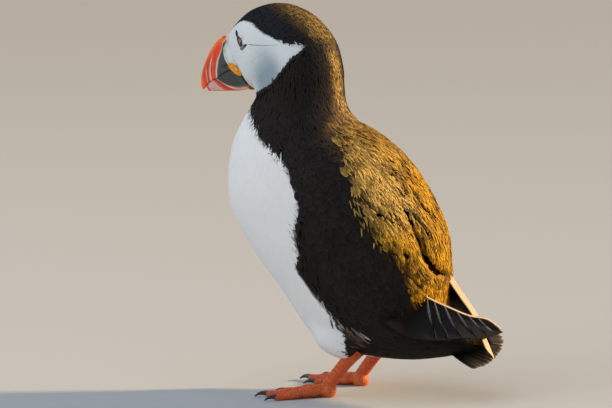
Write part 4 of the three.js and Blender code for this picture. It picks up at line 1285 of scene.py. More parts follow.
def lower_rings(along):
    """The lower mandible's rings, from its keel to a little below the mouth line."""
    reach = along * LOWER_REACH
    keel = profile_at(KEEL, along, 1, LOWER_START)
    gape = profile_at(GAPE, reach, GAPE_SHARE, UPPER_START)
    mouth = mix(base_point(GAPE_SHARE, LOWER_START), gape, column(smooth(along, 0, 0.12)))
    mouth = mouth + unit(keel - mouth) * MOUTH_GAP
    half = curve_at(BILL_HALF_WIDTH, reach) - LOWER_INSET
    return bill_rings(keel, mouth, half, mix(ROUND_SECTION, LOWER_SECTION, along))


def raised(rings, height):
    """A grid of rings with its points moved outwards along the grid's normals."""
    normal = unit(np.cross(np.gradient(rings, axis=0), np.gradient(rings, axis=1)))
    outward = np.sign(((rings - rings.mean(1, keepdims=True)) * normal).sum(-1).mean())
    return rings + normal * column(outward * height)


def with_floor(rings):
    """Adds a point in the middle of each ring's open side, which makes the count even."""
    return np.concatenate([rings, (rings[:, :1] + rings[:, -1:]) / 2], 1)


# %% Colours and finish of the bill
SLATE = rgb(0.049, 0.053, 0.057)
CREAM = rgb(0.78, 0.62, 0.48)
DARK_RED = rgb(0.30, 0.022, 0.008)
RED_ORANGE = rgb(0.76, 0.048, 0.008)
BRIGHT_ORANGE = rgb(1.00, 0.17, 0.002)
STRIPE_PINK = rgb(0.78, 0.56, 0.52)
PALE_PINK = rgb(0.76, 0.44, 0.42)
ARC_PINK = PALE_PINK * np.array([0.75, 0.5, 0.5])
RIM_YELLOW = rgb(0.98, 0.42, 0.05)

horn = Finish("bill_horn", {"Specular IOR Level": 0.35, "Coat Weight": 0.06, "Coat Roughness": 0.3})
grain = horn.noise(900.0, 4.0)
clouds = horn.noise(170.0)
horn_shade = horn.fade(clouds * 0.6 + grain * 0.4, 0.35, 0.65, 0.80, 1.10)
grained(horn, grain, horn_shade, (0.34, 0.52), grain, 0.00015, 0.5)

# %% [markdown]
# Where the bill meets the face, cere and mandible share one surface. Ahead of the last ring of
# the face it runs straight to the mandible's first ring, and behind it over the face itself.
# The front edge of the cere is bowed: it stands back at the ridge and forward at the side.

# %% The surface from the face to the bill
# share of the side, mm ahead of the upper mandible's first ring
CERE_FRONT = [[0, -3.0], [0.1, -3.2], [0.2, -3.5], [0.3, -3.2], [0.4, -2.0], [0.5, 0.0], [0.6, 1.9],
              [0.7, 2.9], [0.8, 3.3], [0.9, 2.8], [1, 1.8]]
CERE_LEAST = 2.5
NEAR_RING = 0.12
TABLE_REACH, TABLE_RINGS = 0.4, 60
side_angle = -np.sign(ring_side) * np.arccos(1 - 2 * GAPE_SHARE * (1 - np.cos(side_share * np.pi / 2)))
first_ring, near_ring = upper_rings(np.array([0.0, NEAR_RING]))
MM_ALONG = np.linalg.norm(near_ring - first_ring, axis=-1) / NEAR_RING
face_ring = body_point(BILL_BASE, side_angle)
station_mm = np.maximum(np.linalg.norm(face_ring - body_point(BILL_BASE - 0.5, side_angle), axis=-1) * 2, 4)
cere_front = curve_at(CERE_FRONT, side_share) + UPPER_START
cere_back = np.minimum(cere_front - CERE_LEAST, -0.5)
bill_table = upper_rings(np.linspace(0, TABLE_REACH, TABLE_RINGS))
print("mm of bill for each whole step along:", MM_ALONG.round(1)[[0, 20, 40]])


def ahead_of_face(ahead):
    """Points at a grid of distances ahead of the face's last ring, one column for each ring
    point: on the face, straight on to the mandible's first ring, or on the mandible."""
    on_face = body_point(BILL_BASE + np.minimum(ahead, 0) / station_mm, side_angle + 0 * ahead)
    between = mix(face_ring + 0 * on_face, first_ring, column(np.clip(ahead / UPPER_START, 0, 1)))
    columns = np.arange(RING_POINTS)
    last = TABLE_RINGS - 1
    at = np.clip(np.clip((ahead - UPPER_START) / MM_ALONG, 0, 1) / TABLE_REACH * last, 0, last - 0.001)
    low = at.astype(int)
    on_bill = mix(bill_table[low, columns], bill_table[low + 1, columns], column(at - low))
    return np.where(column(ahead < 0), on_face, np.where(column(ahead < UPPER_START), between, on_bill))


# %% [markdown]
# The borders, grooves and stripes of the horn are short lines over its side. How far a place
# is from each line sets both its height and its colour, so that relief and paint agree.

# %% Lines on the upper mandible
# Lines over the side of the mandible: share of the side, how far along
SLATE_BORDER = [[0, -0.35], [0.3, -0.10], [0.40, 0.06], [0.57, 0.292], [0.70, 0.445], [0.82, 0.497],
                [0.90, 0.522], [1, 0.525]]
PALE_STRIPE = [[0.4, 0.58], [0.55, 0.642], [0.68, 0.690], [0.80, 0.713], [0.93, 0.715], [1, 0.715]]
FINE_STRIPE = [[0.4, 0.78], [0.50, 0.79], [0.60, 0.807], [0.72, 0.815], [0.85, 0.825], [1, 0.83]]
# the dark red along these lines is painted shade on the flanks of the grooves
DARK_LINES = [[[0.4, 0.62], [0.62, 0.645], [0.80, 0.660], [1, 0.665]],
              [[0.4, 0.50], [0.68, 0.545], [0.88, 0.565], [1, 0.57]],
              [[0.4, 0.70], [0.55, 0.738], [0.72, 0.772], [1, 0.79]]]
BILL_STEPS = 220
BURIED_ROWS = 30


def on_line(place, side, rows, wide, start=0.5):
    """1 along a line over the mandible's side, falling off across it and towards the ridge."""
    return bell(place, curve_at(rows, side), wide) * smooth(side, start - 0.06, start + 0.08)


def mandible(name, rings, height, closing, paint):
    """Raises the rings by height, less and less at the tip, draws the last three in to their
    middle by the shares of closing, and makes the horn."""
    rings = raised(rings, height)
    rings[-3:] = mix(rings[-3:].mean(1, keepdims=True), rings[-3:], np.array(closing)[:, None, None])
    tube_piece(f"{name}_horn", with_floor(rings), with_floor(paint), [SLATE, BRIGHT_ORANGE], horn,
               (name,))


# %% Upper mandible
along = np.concatenate([np.linspace(0, 0.985, BILL_STEPS), [0.991, 0.996, 1.0]])
root = np.minimum(cere_front - 0.6, UPPER_START - 0.3)
root_ahead = mix(root, UPPER_START, np.linspace(0, 1, BURIED_ROWS, endpoint=False)[:, None])
before = (root_ahead - UPPER_START) / MM_ALONG.max()
place = np.concatenate([before, along[:, None] + np.zeros((1, RING_POINTS))])
side = side_share + 0 * place
past_border = place - curve_at(SLATE_BORDER, side)
flank_share = smooth(side, 0.30, 0.5)
nostril = bell(place, 0.24, 0.10) * bell(side, 0.90, 0.03)
pale = on_line(place, side, PALE_STRIPE, 0.022)
fine = on_line(place, side, FINE_STRIPE, 0.015, 0.52)
grooves = np.max([on_line(place, side, rows, 0.011) for rows in DARK_LINES], axis=0)
height = 0.30 * bell(past_border, 0, 0.022) * smooth(side, 0.05, 0.3)
height = height - 0.28 * pale - 0.22 * fine - 0.14 * grooves
height += 0.20 * flank_share * smooth(past_border, 0.02, 0.05) - 0.5 * nostril
height += (0.10 + 0.30 * (1 - smooth(side, 0.10, 0.30))) * smooth(place, -0.12, 0.20)
height *= smooth(1 - place, 0.0, 0.06)
height -= 0.8 * smooth(np.arange(len(place))[:, None], 3, 0)
bright = np.maximum(1 - smooth(side, 0.20, 0.50), 0.8 * smooth(place, 0.86, 0.98))
# dark red along the grooves is painted shade on their flanks
paint = layers(
    RED_ORANGE, (BRIGHT_ORANGE, bright), (BRIGHT_ORANGE, 0.35 * bell(place, 0.61, 0.03) * flank_share),
    (DARK_RED, 0.85 * grooves), (STRIPE_PINK, np.minimum(0.95 * pale + 0.75 * fine, 1)),
    (SLATE, 1 - smooth(past_border, -0.005, 0.02)), (CREAM, bell(past_border, 0, 0.026)),
    (SLATE * 0.3, np.minimum(nostril * 1.4, 1)))
rings = np.concatenate([ahead_of_face(root_ahead), upper_rings(along)])
mandible("bill_upper", rings, height, [1.0, 0.8, 0.4], paint)

# %% Lower mandible
# how far along, share of the side where the slate-blue ends above the keel
SLATE_EDGE = [[0, 0.22], [0.15, 0.23], [0.33, 0.25], [0.468, 0.30], [0.54, 0.47], [0.578, 0.65],
              [0.6, 1.05], [1, 3.0]]
along = np.concatenate([np.linspace(0, 0.97, BILL_STEPS), [0.98, 0.99, 1.0]])
place = along[:, None] + np.zeros((1, RING_POINTS))
side = side_share + 0 * place
over_edge = side - column(curve_at(SLATE_EDGE, along))
before_tip = smooth(0.63 - place, 0, 0.04)
red_line = bell(place, 0.665, 0.013) * smooth(side, 0.12, 0.3)
arc = bell(place, 0.715, 0.016) * smooth(side, 0.12, 0.3)
triangle = smooth(place, 0.735, 0.75) * smooth(side, 0.20, 0.30) * smooth(0.96 - place, 0, 0.05)
height = 0.30 * bell(over_edge, -0.03, 0.09) * before_tip - 0.15 * red_line - 0.12 * triangle
rim = layers(RIM_YELLOW, (CREAM, smooth(place, 0.22, 0.46)))
below = smooth(-over_edge, 0.08, 0.16) * smooth(0.5 - place, 0, 0.2)
paint = layers(
    BRIGHT_ORANGE, (RED_ORANGE, smooth(side, 0.08, 0.3)), (DARK_RED, 0.85 * red_line), (ARC_PINK, 0.7 * arc),
    (PALE_PINK, triangle), (SLATE, smooth(over_edge, 0.0, 0.06) * before_tip),
    (rim, bell(over_edge, -0.05, 0.125) * before_tip), (mix(RIM_YELLOW, BRIGHT_ORANGE, 0.3), below),
    (RIM_YELLOW, smooth(0.06 - place, 0, 0.02) * smooth(0.5 - side, 0, 0.15)))
height *= smooth(1 - place, 0.0, 0.06)
mandible("bill_lower", lower_rings(along), height, [0.9, 0.6, 0.25], paint)

# %% [markdown]
# The cere is a fleshy strip with a broad bead along its front edge and a low one behind, with a
# fine beige channel between. At the side it runs out into the pale skin of the mouth's corner.

# %% Cere
CERE_CREAM = rgb(0.62, 0.66, 0.60)
CERE_BEIGE = rgb(0.42, 0.37, 0.27)
CERE_STEPS = 56
SOFT_FLESH = {"Subsurface Weight": 0.06, "Subsurface Scale": 0.002}

fleshy = Finish("cere_skin", {"Specular IOR Level": 0.3, **SOFT_FLESH})
pores = fleshy.noise(1500.0)
blotch = fleshy.fade(fleshy.noise(300.0, 2.0), 0.3, 0.7, 0.90, 1.06)
grained(fleshy, pores, blotch, (0.42, 0.58), pores, 0.0001, 0.6)

s = np.linspace(0, 1, CERE_STEPS)[:, None] ** 0.8
ahead = mix(cere_front, cere_back, s)
behind = cere_front - ahead
height = 0.25 + 0.50 * bell(behind, 0.75, 0.50) + 0.28 * bell(behind, 2.0, 0.42)
height = height - 1.3 * (bell(behind, 0, 0.16) + bell(s, 1.0, 0.05))
channel = 0.8 * bell(behind, 1.42, 0.20) + 0.35 * bell(behind, 2.7, 0.25)
paint = layers(CERE_CREAM, (CERE_BEIGE, channel), (FACE, smooth(behind, 2.3, 3.2)),
               (CERE_BEIGE * 0.7, bell(behind, 0, 0.14)))
strip = with_floor(raised(ahead_of_face(ahead), height))
tube_piece("cere_strip", strip, with_floor(paint), [CERE_CREAM, FACE], fleshy, ("cere",))

# %% [markdown]
# ## Rosettes, eyes and their plates
# At each corner of the mouth sits a soft yellow-orange rosette with crumpled folds. The small
# dark eye looks out of a narrow, slanting slit with a dark red rim of bare skin, and above and
# below it lie two little horny plates of slate blue. All are small closed shapes set on the
# body's surface, in a frame turned with it.

# %% Small pieces on the face
ROSETTE_YELLOW = rgb(0.80, 0.34, 0.004)
ROSETTE_RED = rgb(0.72, 0.13, 0.008)
PLATE_NAVY = rgb(0.014, 0.018, 0.028)
PLATE_GREY = rgb(0.10, 0.19, 0.21)
RING_RED = rgb(0.17, 0.013, 0.015)
LID_DARK = rgb(0.022, 0.012, 0.013)
IRIS = rgb(0.10, 0.095, 0.088)
ROSETTE_TOP = (5.0, 0.84)  # mm ahead of the face, share of the side
ROSETTE_END = (16.88, 124)  # station, degrees from the back
ROSETTE_SIZE = (6.9, 2.1, 1.8)
ROSETTE_MIDDLE = (17.3, 106)
FOLD_DEPTH = 0.085  # of the rosette's size
EYE_AT, EYE_TURN = (15.99, 77.8), 45
EYE_RADIUS, EYE_SUNK = 3.0, 2.0
SLIT = np.array([3.9, 1.5])
RIM_TUBE, RIM_BEADS, RIM_STEPS = 0.36, 26, (96, 24)
# name, station, degrees, turn, size, taper, colours at the start and at the end
PLATES = [("upper", 16.41, 60, 36.5, (3.1, 0.8, 0.7), -0.6, (PLATE_NAVY, PLATE_NAVY)),
          ("lower", 15.55, 87.2, 122, (3.5, 1.8, 0.9), 0.65, (PLATE_GREY, PLATE_NAVY))]

wet = Finish("wet_eye", {"Roughness": 0.04, "Specular IOR Level": 0.6,
                         "Coat Weight": 0.8, "Coat Roughness": 0.02})
wet.set(Base_Color=wet.painted(wet.fade(wet.noise(4000.0, 2.0), 0.35, 0.65, 0.7, 1.3)))


# %% Frames on the face
def face_frame(station, angle, turn, sign, lift=0.0):
    """Origin and three axes on the body's surface: round it, across and outwards, turned."""
    v = sign * np.radians(angle)
    out = body_normal(station, v)
    around = unit(body_point(station, v + sign * 1e-3) - body_point(station, v - sign * 1e-3))
    t = sign * np.radians(turn)
    first = around * np.cos(t) + np.cross(out, around) * np.sin(t)
    return body_point(station, v) + out * lift, np.stack([first, np.cross(out, first), out])


def ball_grid(rows, columns):
    """Directions over a ball, with its poles on the first axis."""
    a = np.linspace(0.03, np.pi - 0.03, rows)[:, None]
    b = circle(columns)
    return np.stack([np.cos(a) + 0 * b, np.sin(a) * np.cos(b), np.sin(a) * np.sin(b)], -1)


def set_on_face(grid, frame):
    origin, axes = frame
    return grid @ axes + origin


# %% Rosette
def rosette(name, sign):
    """A long bun whose height is crumpled by crossed folds, deepest along its length, laid
    from the side of the bill to the corner of the mouth."""
    way = ball_grid(90, 120)
    x, y, z = np.moveaxis(way, -1, 0)
    folds = np.sin(17 * y + 3.0 * np.sin(4.5 * x)) * 0.6 + np.sin(11 * x + 5.0 * y) * 0.6
    folds *= smooth(1 - np.abs(x), 0, 0.35) * smooth(z, -0.2, 0.3)
    size = np.array(ROSETTE_SIZE) * (1 + 0.10 * column(x) * np.array([0, 1, 0.6]))
    grid = way * size * column(1 + FOLD_DEPTH * folds)
    column_there = np.argmin(np.abs(ring_side + sign * ROSETTE_TOP[1]))
    top = ahead_of_face(np.full((1, RING_POINTS), ROSETTE_TOP[0]))[0, column_there]
    end = body_point(ROSETTE_END[0], sign * np.radians(ROSETTE_END[1]))
    _, (_, _, out) = face_frame(*ROSETTE_MIDDLE, 0, sign)
    first = unit(end - top)
    out = unit(out - first * (out @ first))
    frame = ((top + end) / 2 + out * 0.3, np.stack([first, np.cross(out, first), out]))
    paint = layers(ROSETTE_RED, (ROSETTE_YELLOW, smooth(folds, -1.0, 0.1)))
    tube_piece(f"rosette_skin_{name}", set_on_face(grid, frame), paint, ROSETTE_YELLOW,
               fleshy, (f"rosette_{name}",))


# %% Eye and its rim
def eye(name, sign):
    """A ball with a slightly bulging cornea, a grey-brown iris and a black pupil."""
    way = ball_grid(60, 80)[..., [1, 2, 0]]
    front = way[..., 2]
    grid = way * EYE_RADIUS * column(1 + 0.03 * smooth(front, 0.75, 1.0))
    paint = layers(IRIS * 0.5, (IRIS, bell(front, 0.90, 0.06)), (IRIS * 0.05, smooth(front, 0.945, 0.955)))
    tube_piece(f"eyeball_{name}", set_on_face(grid, face_frame(*EYE_AT, 0, sign, -EYE_SUNK)), paint,
               [IRIS * 0.05, IRIS], wet, (f"eye_{name}",))


def eye_rim(name, sign):
    """A beaded tube round a slanting ellipse, drawn in to its middle behind as a low dark bun."""
    frame = face_frame(*EYE_AT, EYE_TURN, sign, 0.1)
    rows, columns = RIM_STEPS
    a, b = circle(rows)[:, None], circle(columns)
    tube = RIM_TUBE * (1 + 0.10 * np.sin(RIM_BEADS * a)) * (1 + 0 * b)
    grid = np.stack([(SLIT[0] + tube * np.cos(b)) * np.cos(a), (SLIT[1] + tube * np.cos(b)) * np.sin(a),
                     tube * np.sin(b)], -1)
    points = set_on_face(grid, frame).reshape(-1, 3)
    faces = faces_out(points, grid_faces(rows + 1, columns) % (rows * columns))
    paint = layers(RING_RED * 0.6, (RING_RED, smooth(np.sin(b) + 0 * a, 0, 0.8))).reshape(-1, 3)
    bun = closed_tube(set_on_face(ball_grid(24, 48) * np.array([*SLIT, 0.45]), frame))
    paint = np.concatenate([paint, np.tile(LID_DARK, (len(bun[0]), 1))])
    points, faces = joined([(points, faces), bun])
    piece(f"eye_rim_{name}", points, faces, fleshy, (f"eye_ring_{name}",), paint)


# %% Horny plate
def plate(name, sign, which, station, angle, turn, size, taper, colours):
    """A low bun, drawn out to a point at one end by narrowing it in proportion to its length,
    and painted from the first colour at its start to the second at its end."""
    way = ball_grid(40, 56)
    x, y = way[..., 0:1], way[..., 1:2]
    narrow = 1 - taper * (x + 1) / 2
    grid = way * np.array(size) * (1 + 0.03 * np.sin(14 * x + 4 * y))
    grid = grid * np.concatenate([1 + 0 * narrow, narrow, 0.5 + 0.5 * narrow], -1)
    tube_piece(f"eye_plate_{which}_horn_{name}", set_on_face(grid, face_frame(station, angle, turn, sign)),
               mix(*colours, smooth(x, 0.0, 0.7)), colours, horn, (f"eye_plate_{which}_{name}",))


# %% Both sides of the face
for name, sign in SIDES.items():
    rosette(name, sign)
    eye(name, sign)
    eye_rim(name, sign)
    for row in PLATES:
        plate(name, sign, *row)

# %% [markdown]
# ## Flight feathers and tail
# The long flight feathers of each folded wing lie over one another like a closed fan. The inner
# ones are on top and the outermost, the longest, is at the bottom, so that one rounded tip
# shows behind the other, each with a thin worn fringe. Every feather is a thin closed sheet of
# its own on the curved surface of the folded hand, between the hand's upper and lower edges.

# %% Sheets on a surface
def sheet(middle, out, half, paint, lie):
    """A closed thin sheet round a grid of points: the grid moved out by half and back by half.
    Returns its points, faces, colours and lie, also for its two end points."""
    shift = out * column(half)
    points, faces = closed_tube(np.concatenate([middle + shift, (middle - shift)[:, ::-1]], 1))
    rows = []
    for grid in (paint, np.stack(np.broadcast_arrays(*lie), -1)):
        both = np.concatenate([grid, grid[:, ::-1]], 1)
        rows.append(np.concatenate([both.reshape(-1, 3), [both[0].mean(0), both[-1].mean(0)]]))
    return points, faces, *rows


def sheets_piece(name, parts, finish, node):
    """Several sheets as one piece of flight feathers."""
    points, faces = joined([part[:2] for part in parts])
    paint, lie = (np.concatenate([part[k] for part in parts]) for k in (2, 3))
    piece(name, points, faces, finish, (node,), paint, {"lie": lie})


# %% Edges and sizes of the folded hands
# Points along the upper and the lower edge of each hand, from under the wing to the tip
HAND = {
    "left": ([[60, -21, 62], [66.5, -20.5, 58.5], [75, -16, 54], [85.5, -10, 48.8], [95, -4, 46.2],
              [102.6, 1, 39.4]],
             [[46, -38, 46], [58, -36, 38.5], [72, -30, 36], [85, -22, 37], [96, -11, 36.2],
              [103, 0.6, 38.4]]),
    "right": ([[64, 16, 72], [69, 12.5, 66.5], [77, 9.5, 57], [86, 5, 46.9], [93.6, -3, 35.6],
               [101.3, -11.6, 25.4]],
              [[50, 37.5, 53], [62, 34.5, 46], [75, 27.5, 41], [86, 18.5, 37.2], [94.8, 5, 32.2],
               [101.6, -11.4, 24.6]]),
}
# name: width of the pale rim, width of the pale edge strip, way that the strip faces
PALE_EDGES = {"left": (0.5, 1.15, (0.9, -0.10, 0.45)), "right": (2.0, 5.0, (0.9, -0.34, 0.3))}
HAND_CAMBER = 2.0
FULL_CAMBER_WIDTH = 20.0
EDGE_STEP = 0.02
HAND_LENGTH = 62.0
HAND_STACK = (2.0, 1.2)
FEATHER_ENDS = [0.41, 0.50, 0.61, 0.73, 0.84, 0.93, 1.0]
TIP_SWEEP = 0.24
ROOT_SUNK = 2.4  # mm that the feathers' roots lie under the wing's coat
VANE_HALF = 0.06
STRIP_ROWS, STRIP_COLUMNS, STRIP_HALF = 160, 9, 0.15
FRINGE_GREY = rgb(0.22, 0.22, 0.22)
# cream of the worn upper edges, made bright as painted light shining through the thin vanes
WORN_BACKLIT_CREAM = rgb(0.82, 0.58, 0.38)
VANE_BLACK = rgb(0.0125, 0.0122, 0.0130)


# %% Surface of a folded hand
def hand_edge(name, which, s):
    """Point on the upper (0) or lower (1) edge of a hand, at a share of the way to its tip."""
    rows = np.array(HAND[name][which], float)
    return spline(rows, s * (len(rows) - 1))


def hand_surface(name, s, t):
    """Straight across from the upper edge to the lower one, bowed out as a sine, with the
    surface's outward direction and its width."""
    upper = hand_edge(name, 0, s)
    across = hand_edge(name, 1, s) - upper
    before, after = np.clip(s - EDGE_STEP, 0, 1 - 2 * EDGE_STEP), np.minimum(s + EDGE_STEP, 1)
    ahead = hand_edge(name, 0, after) - hand_edge(name, 0, before)
    out = unit(np.cross(ahead, across)) * SIDES[name]
    wide = np.linalg.norm(across, axis=-1)
    bow = HAND_CAMBER * np.sin(np.pi * np.clip(t, 0, 1)) * np.minimum(1, wide / FULL_CAMBER_WIDTH)
    return upper + across * column(t) + out * column(bow), out, wide


# %% One flight feather
def hand_feather(name, k, end, rim_wide):
    """One feather from under the wing to its end, which slants from the upper edge out to
    the lower one as (1 - t / 0.9)^1.3."""
    last = len(FEATHER_ENDS) - 1
    l = np.concatenate([np.linspace(0, 0.93, 48), np.linspace(0.94, 1, 24)])[:, None]
    t = (np.linspace(0, 1, 52)[None, :]) ** 1.3 + 0 * l
    sweep = TIP_SWEEP * (1 - np.minimum(t / 0.9, 1)) ** 1.3 * (0.3 if k == last else 1.0)
    s = np.maximum((end - sweep) * l, 0)
    middle, out, wide = hand_surface(name, s, t)
    lift = mix(*HAND_STACK, s) * (k / last - 0.5) - 0.05 * np.sin(np.pi * t) * (1 - l)
    lift = lift + ROOT_SUNK * smooth(0.34 - s, 0, 0.20)
    fringe = 0.8 * bell((end - sweep - s) * HAND_LENGTH, 0.16, 0.26) * smooth(0.68 - t, 0, 0.3)
    # cream towards the upper edge and along the rim: painted light shining through the worn edge
    fringe_colour = layers(WORN_BACKLIT_CREAM, (FRINGE_GREY, smooth(t, 0.02, 0.14 + 0.25 * (k >= last - 1))))
    ribs = 0.82 + 0.18 * np.sin(s * HAND_LENGTH * 3.2 + 5 * t)
    paint = layers(BLACK * 0.6, (VANE_BLACK * 1.4, smooth(s, 0.12, 0.5)), (fringe_colour, fringe),
                   (WORN_BACKLIT_CREAM * column(ribs), smooth(rim_wide - t * wide, -0.15, 0.25)))
    half = VANE_HALF * (1 - 0.7 * smooth(l, 0.9, 1)) + 0 * t
    return sheet(middle + out * column(lift), out, half, paint, ((t - 0.32) * wide, s * HAND_LENGTH, 7.3 * k))


# %% Pale edge of the longest feather
def edge_strip(name, wide, facing):
    """The pale outer vane of the longest feather: a narrow sheet from the hand's upper edge, at
    right angles to the edge and to the part of facing that is square to it, ribbed along, and
    painted bright cream as the light that shines through the worn vane."""
    s = np.linspace(0.02, 1, STRIP_ROWS)[:, None]
    c = np.linspace(0, 1, STRIP_COLUMNS)[None, :] + 0 * s
    edge = hand_edge(name, 0, s[:, 0])
    ahead = unit(np.gradient(edge, axis=0))
    out = unit(facing - ahead * (ahead @ facing)[:, None])
    reach = wide * smooth(1 - s, -0.02, 0.10) * c
    hollow = out[:, None] * column(0.25 * c * (1 - c))
    middle = edge[:, None] + np.cross(ahead, out)[:, None] * column(reach) - hollow
    ribs = 0.86 + 0.14 * np.sin(reach * 7.5 + s * 4)
    paint = WORN_BACKLIT_CREAM * column(ribs * (1 - 0.35 * smooth(c, 0.75, 1)))
    half = STRIP_HALF * (1 - 0.7 * smooth(s, 0.95, 1)) + 0 * c
    return sheet(middle, out[:, None] + 0 * middle, half, paint, (reach + 0.6, s * HAND_LENGTH, 51.0))


# %% Both hands
flight_vanes = vane_finish("flight_vanes", 0.25, 0.05)
for name, (rim_wide, strip_wide, facing) in PALE_EDGES.items():
    parts = [hand_feather(name, k, end, rim_wide) for k, end in enumerate(FEATHER_ENDS)]
    parts.append(edge_strip(name, strip_wide, np.array(facing)))
    sheets_piece(f"flight_feathers_{name}", parts, flight_vanes, f"primaries_{name}")

# %% [markdown]
# The tail is a fan of sixteen stiff feathers with rounded ends. The two in the middle lie on
# top and every next one slips under its neighbour. The fan is rolled, so that its left side
# hangs lower.

# %% Tail
TAIL_ROOT = np.array([64.0, 32.0])
TAIL_TIP = np.array([102.6, 27.6])
TAIL_LENGTH = 38.0
TAIL_SPREAD = np.radians(38)
TAIL_FEATHERS = 16
TAIL_ROLL, TAIL_FLATTEN, TAIL_HALF_WIDTH = 0.42, 0.35, 26.0
TAIL_STACK = (2.8, 0.9)
TAIL_OVERLAP = 1.35  # a feather's width as a share of the fan's spacing
TAIL_ROUNDING = 0.055  # how far a feather's end falls back at its sides, as a share of the tail
TAIL_BROWN = rgb(0.050, 0.038, 0.028)
TAIL_PALE = rgb(0.34, 0.25, 0.15)


def tail_surface(t, a):
    """A fan: t of the way from root to tip, in the direction a of its half angle, rolled about
    its middle and flattening to the sides."""
    reach = (TAIL_TIP[0] - TAIL_ROOT[0]) * (1 - 0.05 * a * a)
    x = TAIL_ROOT[0] + reach * t * np.cos(TAIL_SPREAD * a)
    y = -reach * t * np.sin(TAIL_SPREAD * a)
    z = mix(TAIL_ROOT[1], TAIL_TIP[1], t) + y * TAIL_ROLL * (1 - TAIL_FLATTEN * (y / TAIL_HALF_WIDTH) ** 2)
    return np.stack([x, y, z], -1)


def tail_feather(j):
    """A vane round its shaft, wider than the fan's spacing, its end rounded as a circle."""
    centre = (2 * j + 1) / TAIL_FEATHERS - 1 + rng.normal(0, 0.018)
    shorter, tone = rng.uniform(0, 0.03), rng.uniform(0.6, 1.5)
    l = np.linspace(0, 1, 56)[:, None]
    c = np.linspace(-1, 1, 15)[None, :] + 0 * l
    end = 1 - TAIL_ROUNDING * (1 - np.sqrt(1 - np.minimum(np.abs(c), 0.999) ** 2)) - shorter
    t = mix(0.05, end, l)
    middle = tail_surface(t, centre + c * TAIL_OVERLAP / TAIL_FEATHERS)
    out = unit(np.array([0.1, -TAIL_ROLL, 1.0]))
    lift = mix(*TAIL_STACK, np.minimum(t * 1.15, 1)) * (0.45 - 0.9 * abs(centre))
    lift = lift - 0.25 * c * np.sign(centre + 1e-6) + 0.2 * (1 - c**2)
    rim = np.clip(bell((end - t) * TAIL_LENGTH, 0.2, 0.9) + 0.8 * smooth(np.abs(c), 0.72, 1.0), 0, 1)
    pale = 0.55 * rim * smooth(t, 0.3, 0.8) * smooth(t, 0.6, 0.9)
    # the root half of each feather is painted darker as the shadow of the wings over it
    paint = layers(TAIL_BROWN * tone * column(mix(0.15, 1.2, smooth(t, 0.5, 0.9))), (TAIL_PALE, pale))
    half = 0.12 * (1 - 0.6 * smooth(l, 0.9, 1)) + 0 * c
    lie = (c * 2.2, t * TAIL_LENGTH, 3.7 * j)
    return sheet(middle + out * column(lift), out + 0 * middle, half, paint, lie)


tail_vanes = vane_finish("tail_vanes", 0.45, 0.08)
sheets_piece("tail_feathers", [tail_feather(j) for j in range(TAIL_FEATHERS)], tail_vanes, "tail")

# %% [markdown]
# ## Legs and feet
# The legs are orange-red skin over bone. The tarsus carries a row of broad scutes in front and
# small scales behind, and three toes with knuckles spread two webs between them. Every limb is
# rings of an ellipse round a path, and the small scales are left to the finish.

# %% Places and sizes of the limbs
HEEL = {"left": np.array([24, -21, 27.5]), "right": np.array([28, 21, 27.5])}
FOOT_PAD = {"left": np.array([7, -23, 6.2]), "right": np.array([11, 22, 6.2])}
FOOT_HEADING = {"left": 22.0, "right": 12.0}
FLAT = np.array([1, 1, 0])
UP = np.array([0.0, 0.0, 1.0])
TOES = {"inner": (-25, 27, 2.8), "middle": (0, 35, 3.1), "outer": (23, 33, 2.9)}  # spread, length, radius
VOXEL, RELAXING = 0.42, 3
HEEL_PAD = (4.9, 3.6)  # radius and height of its middle
LEG_SCUTES, TOE_SCUTE = 11, 1.9  # scutes on a tarsus, length of a scute on a toe
WEB_HOLLOW = 0.60
# half width and half height at root and tip, length, length inside the toe
CLAW_WIDE, CLAW_HIGH, CLAW_REACH, CLAW_SUNK = (1.25, 0.34), (1.62, 0.34), 7.3, 0.9
LEG_ORANGE = rgb(0.80, 0.125, 0.020)
WEB_ORANGE = rgb(0.78, 0.16, 0.035)
CREASE_RED = rgb(0.34, 0.035, 0.010)
CLAW_DARK = rgb(0.030, 0.024, 0.022)

# %% Leather and claw horn
leather = Finish("leg_leather", {"Specular IOR Level": 0.42, **SOFT_FLESH})
scales = {"Vector": leather.add("ShaderNodeTexCoord", output="Object"), "Scale": 900.0}
cell = leather.add("ShaderNodeTexVoronoi", {"feature": "DISTANCE_TO_EDGE"}, scales, "Distance")
crinkle = leather.noise(500.0, 4.0)
scale_shade = leather.fade(cell, 0.0, 0.12, 0.72, 1.0) * leather.fade(crinkle, 0.3, 0.7, 0.82, 1.15)
scale_height = leather.fade(cell, 0.0, 0.22) * 0.6 + crinkle * 0.4
grained(leather, crinkle, scale_shade, (0.36, 0.52), scale_height, 0.0004, 0.8)

claw_horn = Finish("claw_horn", {"Specular IOR Level": 0.5, "Coat Weight": 0.2, "Coat Roughness": 0.2})
claw_grain = claw_horn.noise(1200.0)
claw_shade = claw_horn.fade(claw_grain, 0.3, 0.7, 0.75, 1.25)
grained(claw_horn, claw_grain, claw_shade, (0.22, 0.40), claw_grain, 0.0001, 0.4)


# %% Rings round a path
def limb_rings(path, across, upward, columns=40):
    """Rings of an ellipse round a path of points, with half widths across and upward."""
    ahead = unit(np.gradient(path, axis=0))
    side = unit(np.cross(UP, ahead))
    up = np.cross(ahead, side)
    angle = circle(columns)[:, None]
    return (path[:, None] + side[:, None] * (across[:, None, None] * np.cos(angle))
            + up[:, None] * (upward[:, None, None] * np.sin(angle)))


def bent(start, control, end, t):
    """A quadratic curve from start to end, drawn towards the control point."""
    t = t[:, None]
    return (1 - t) ** 2 * start + 2 * t * (1 - t) * control + t**2 * end


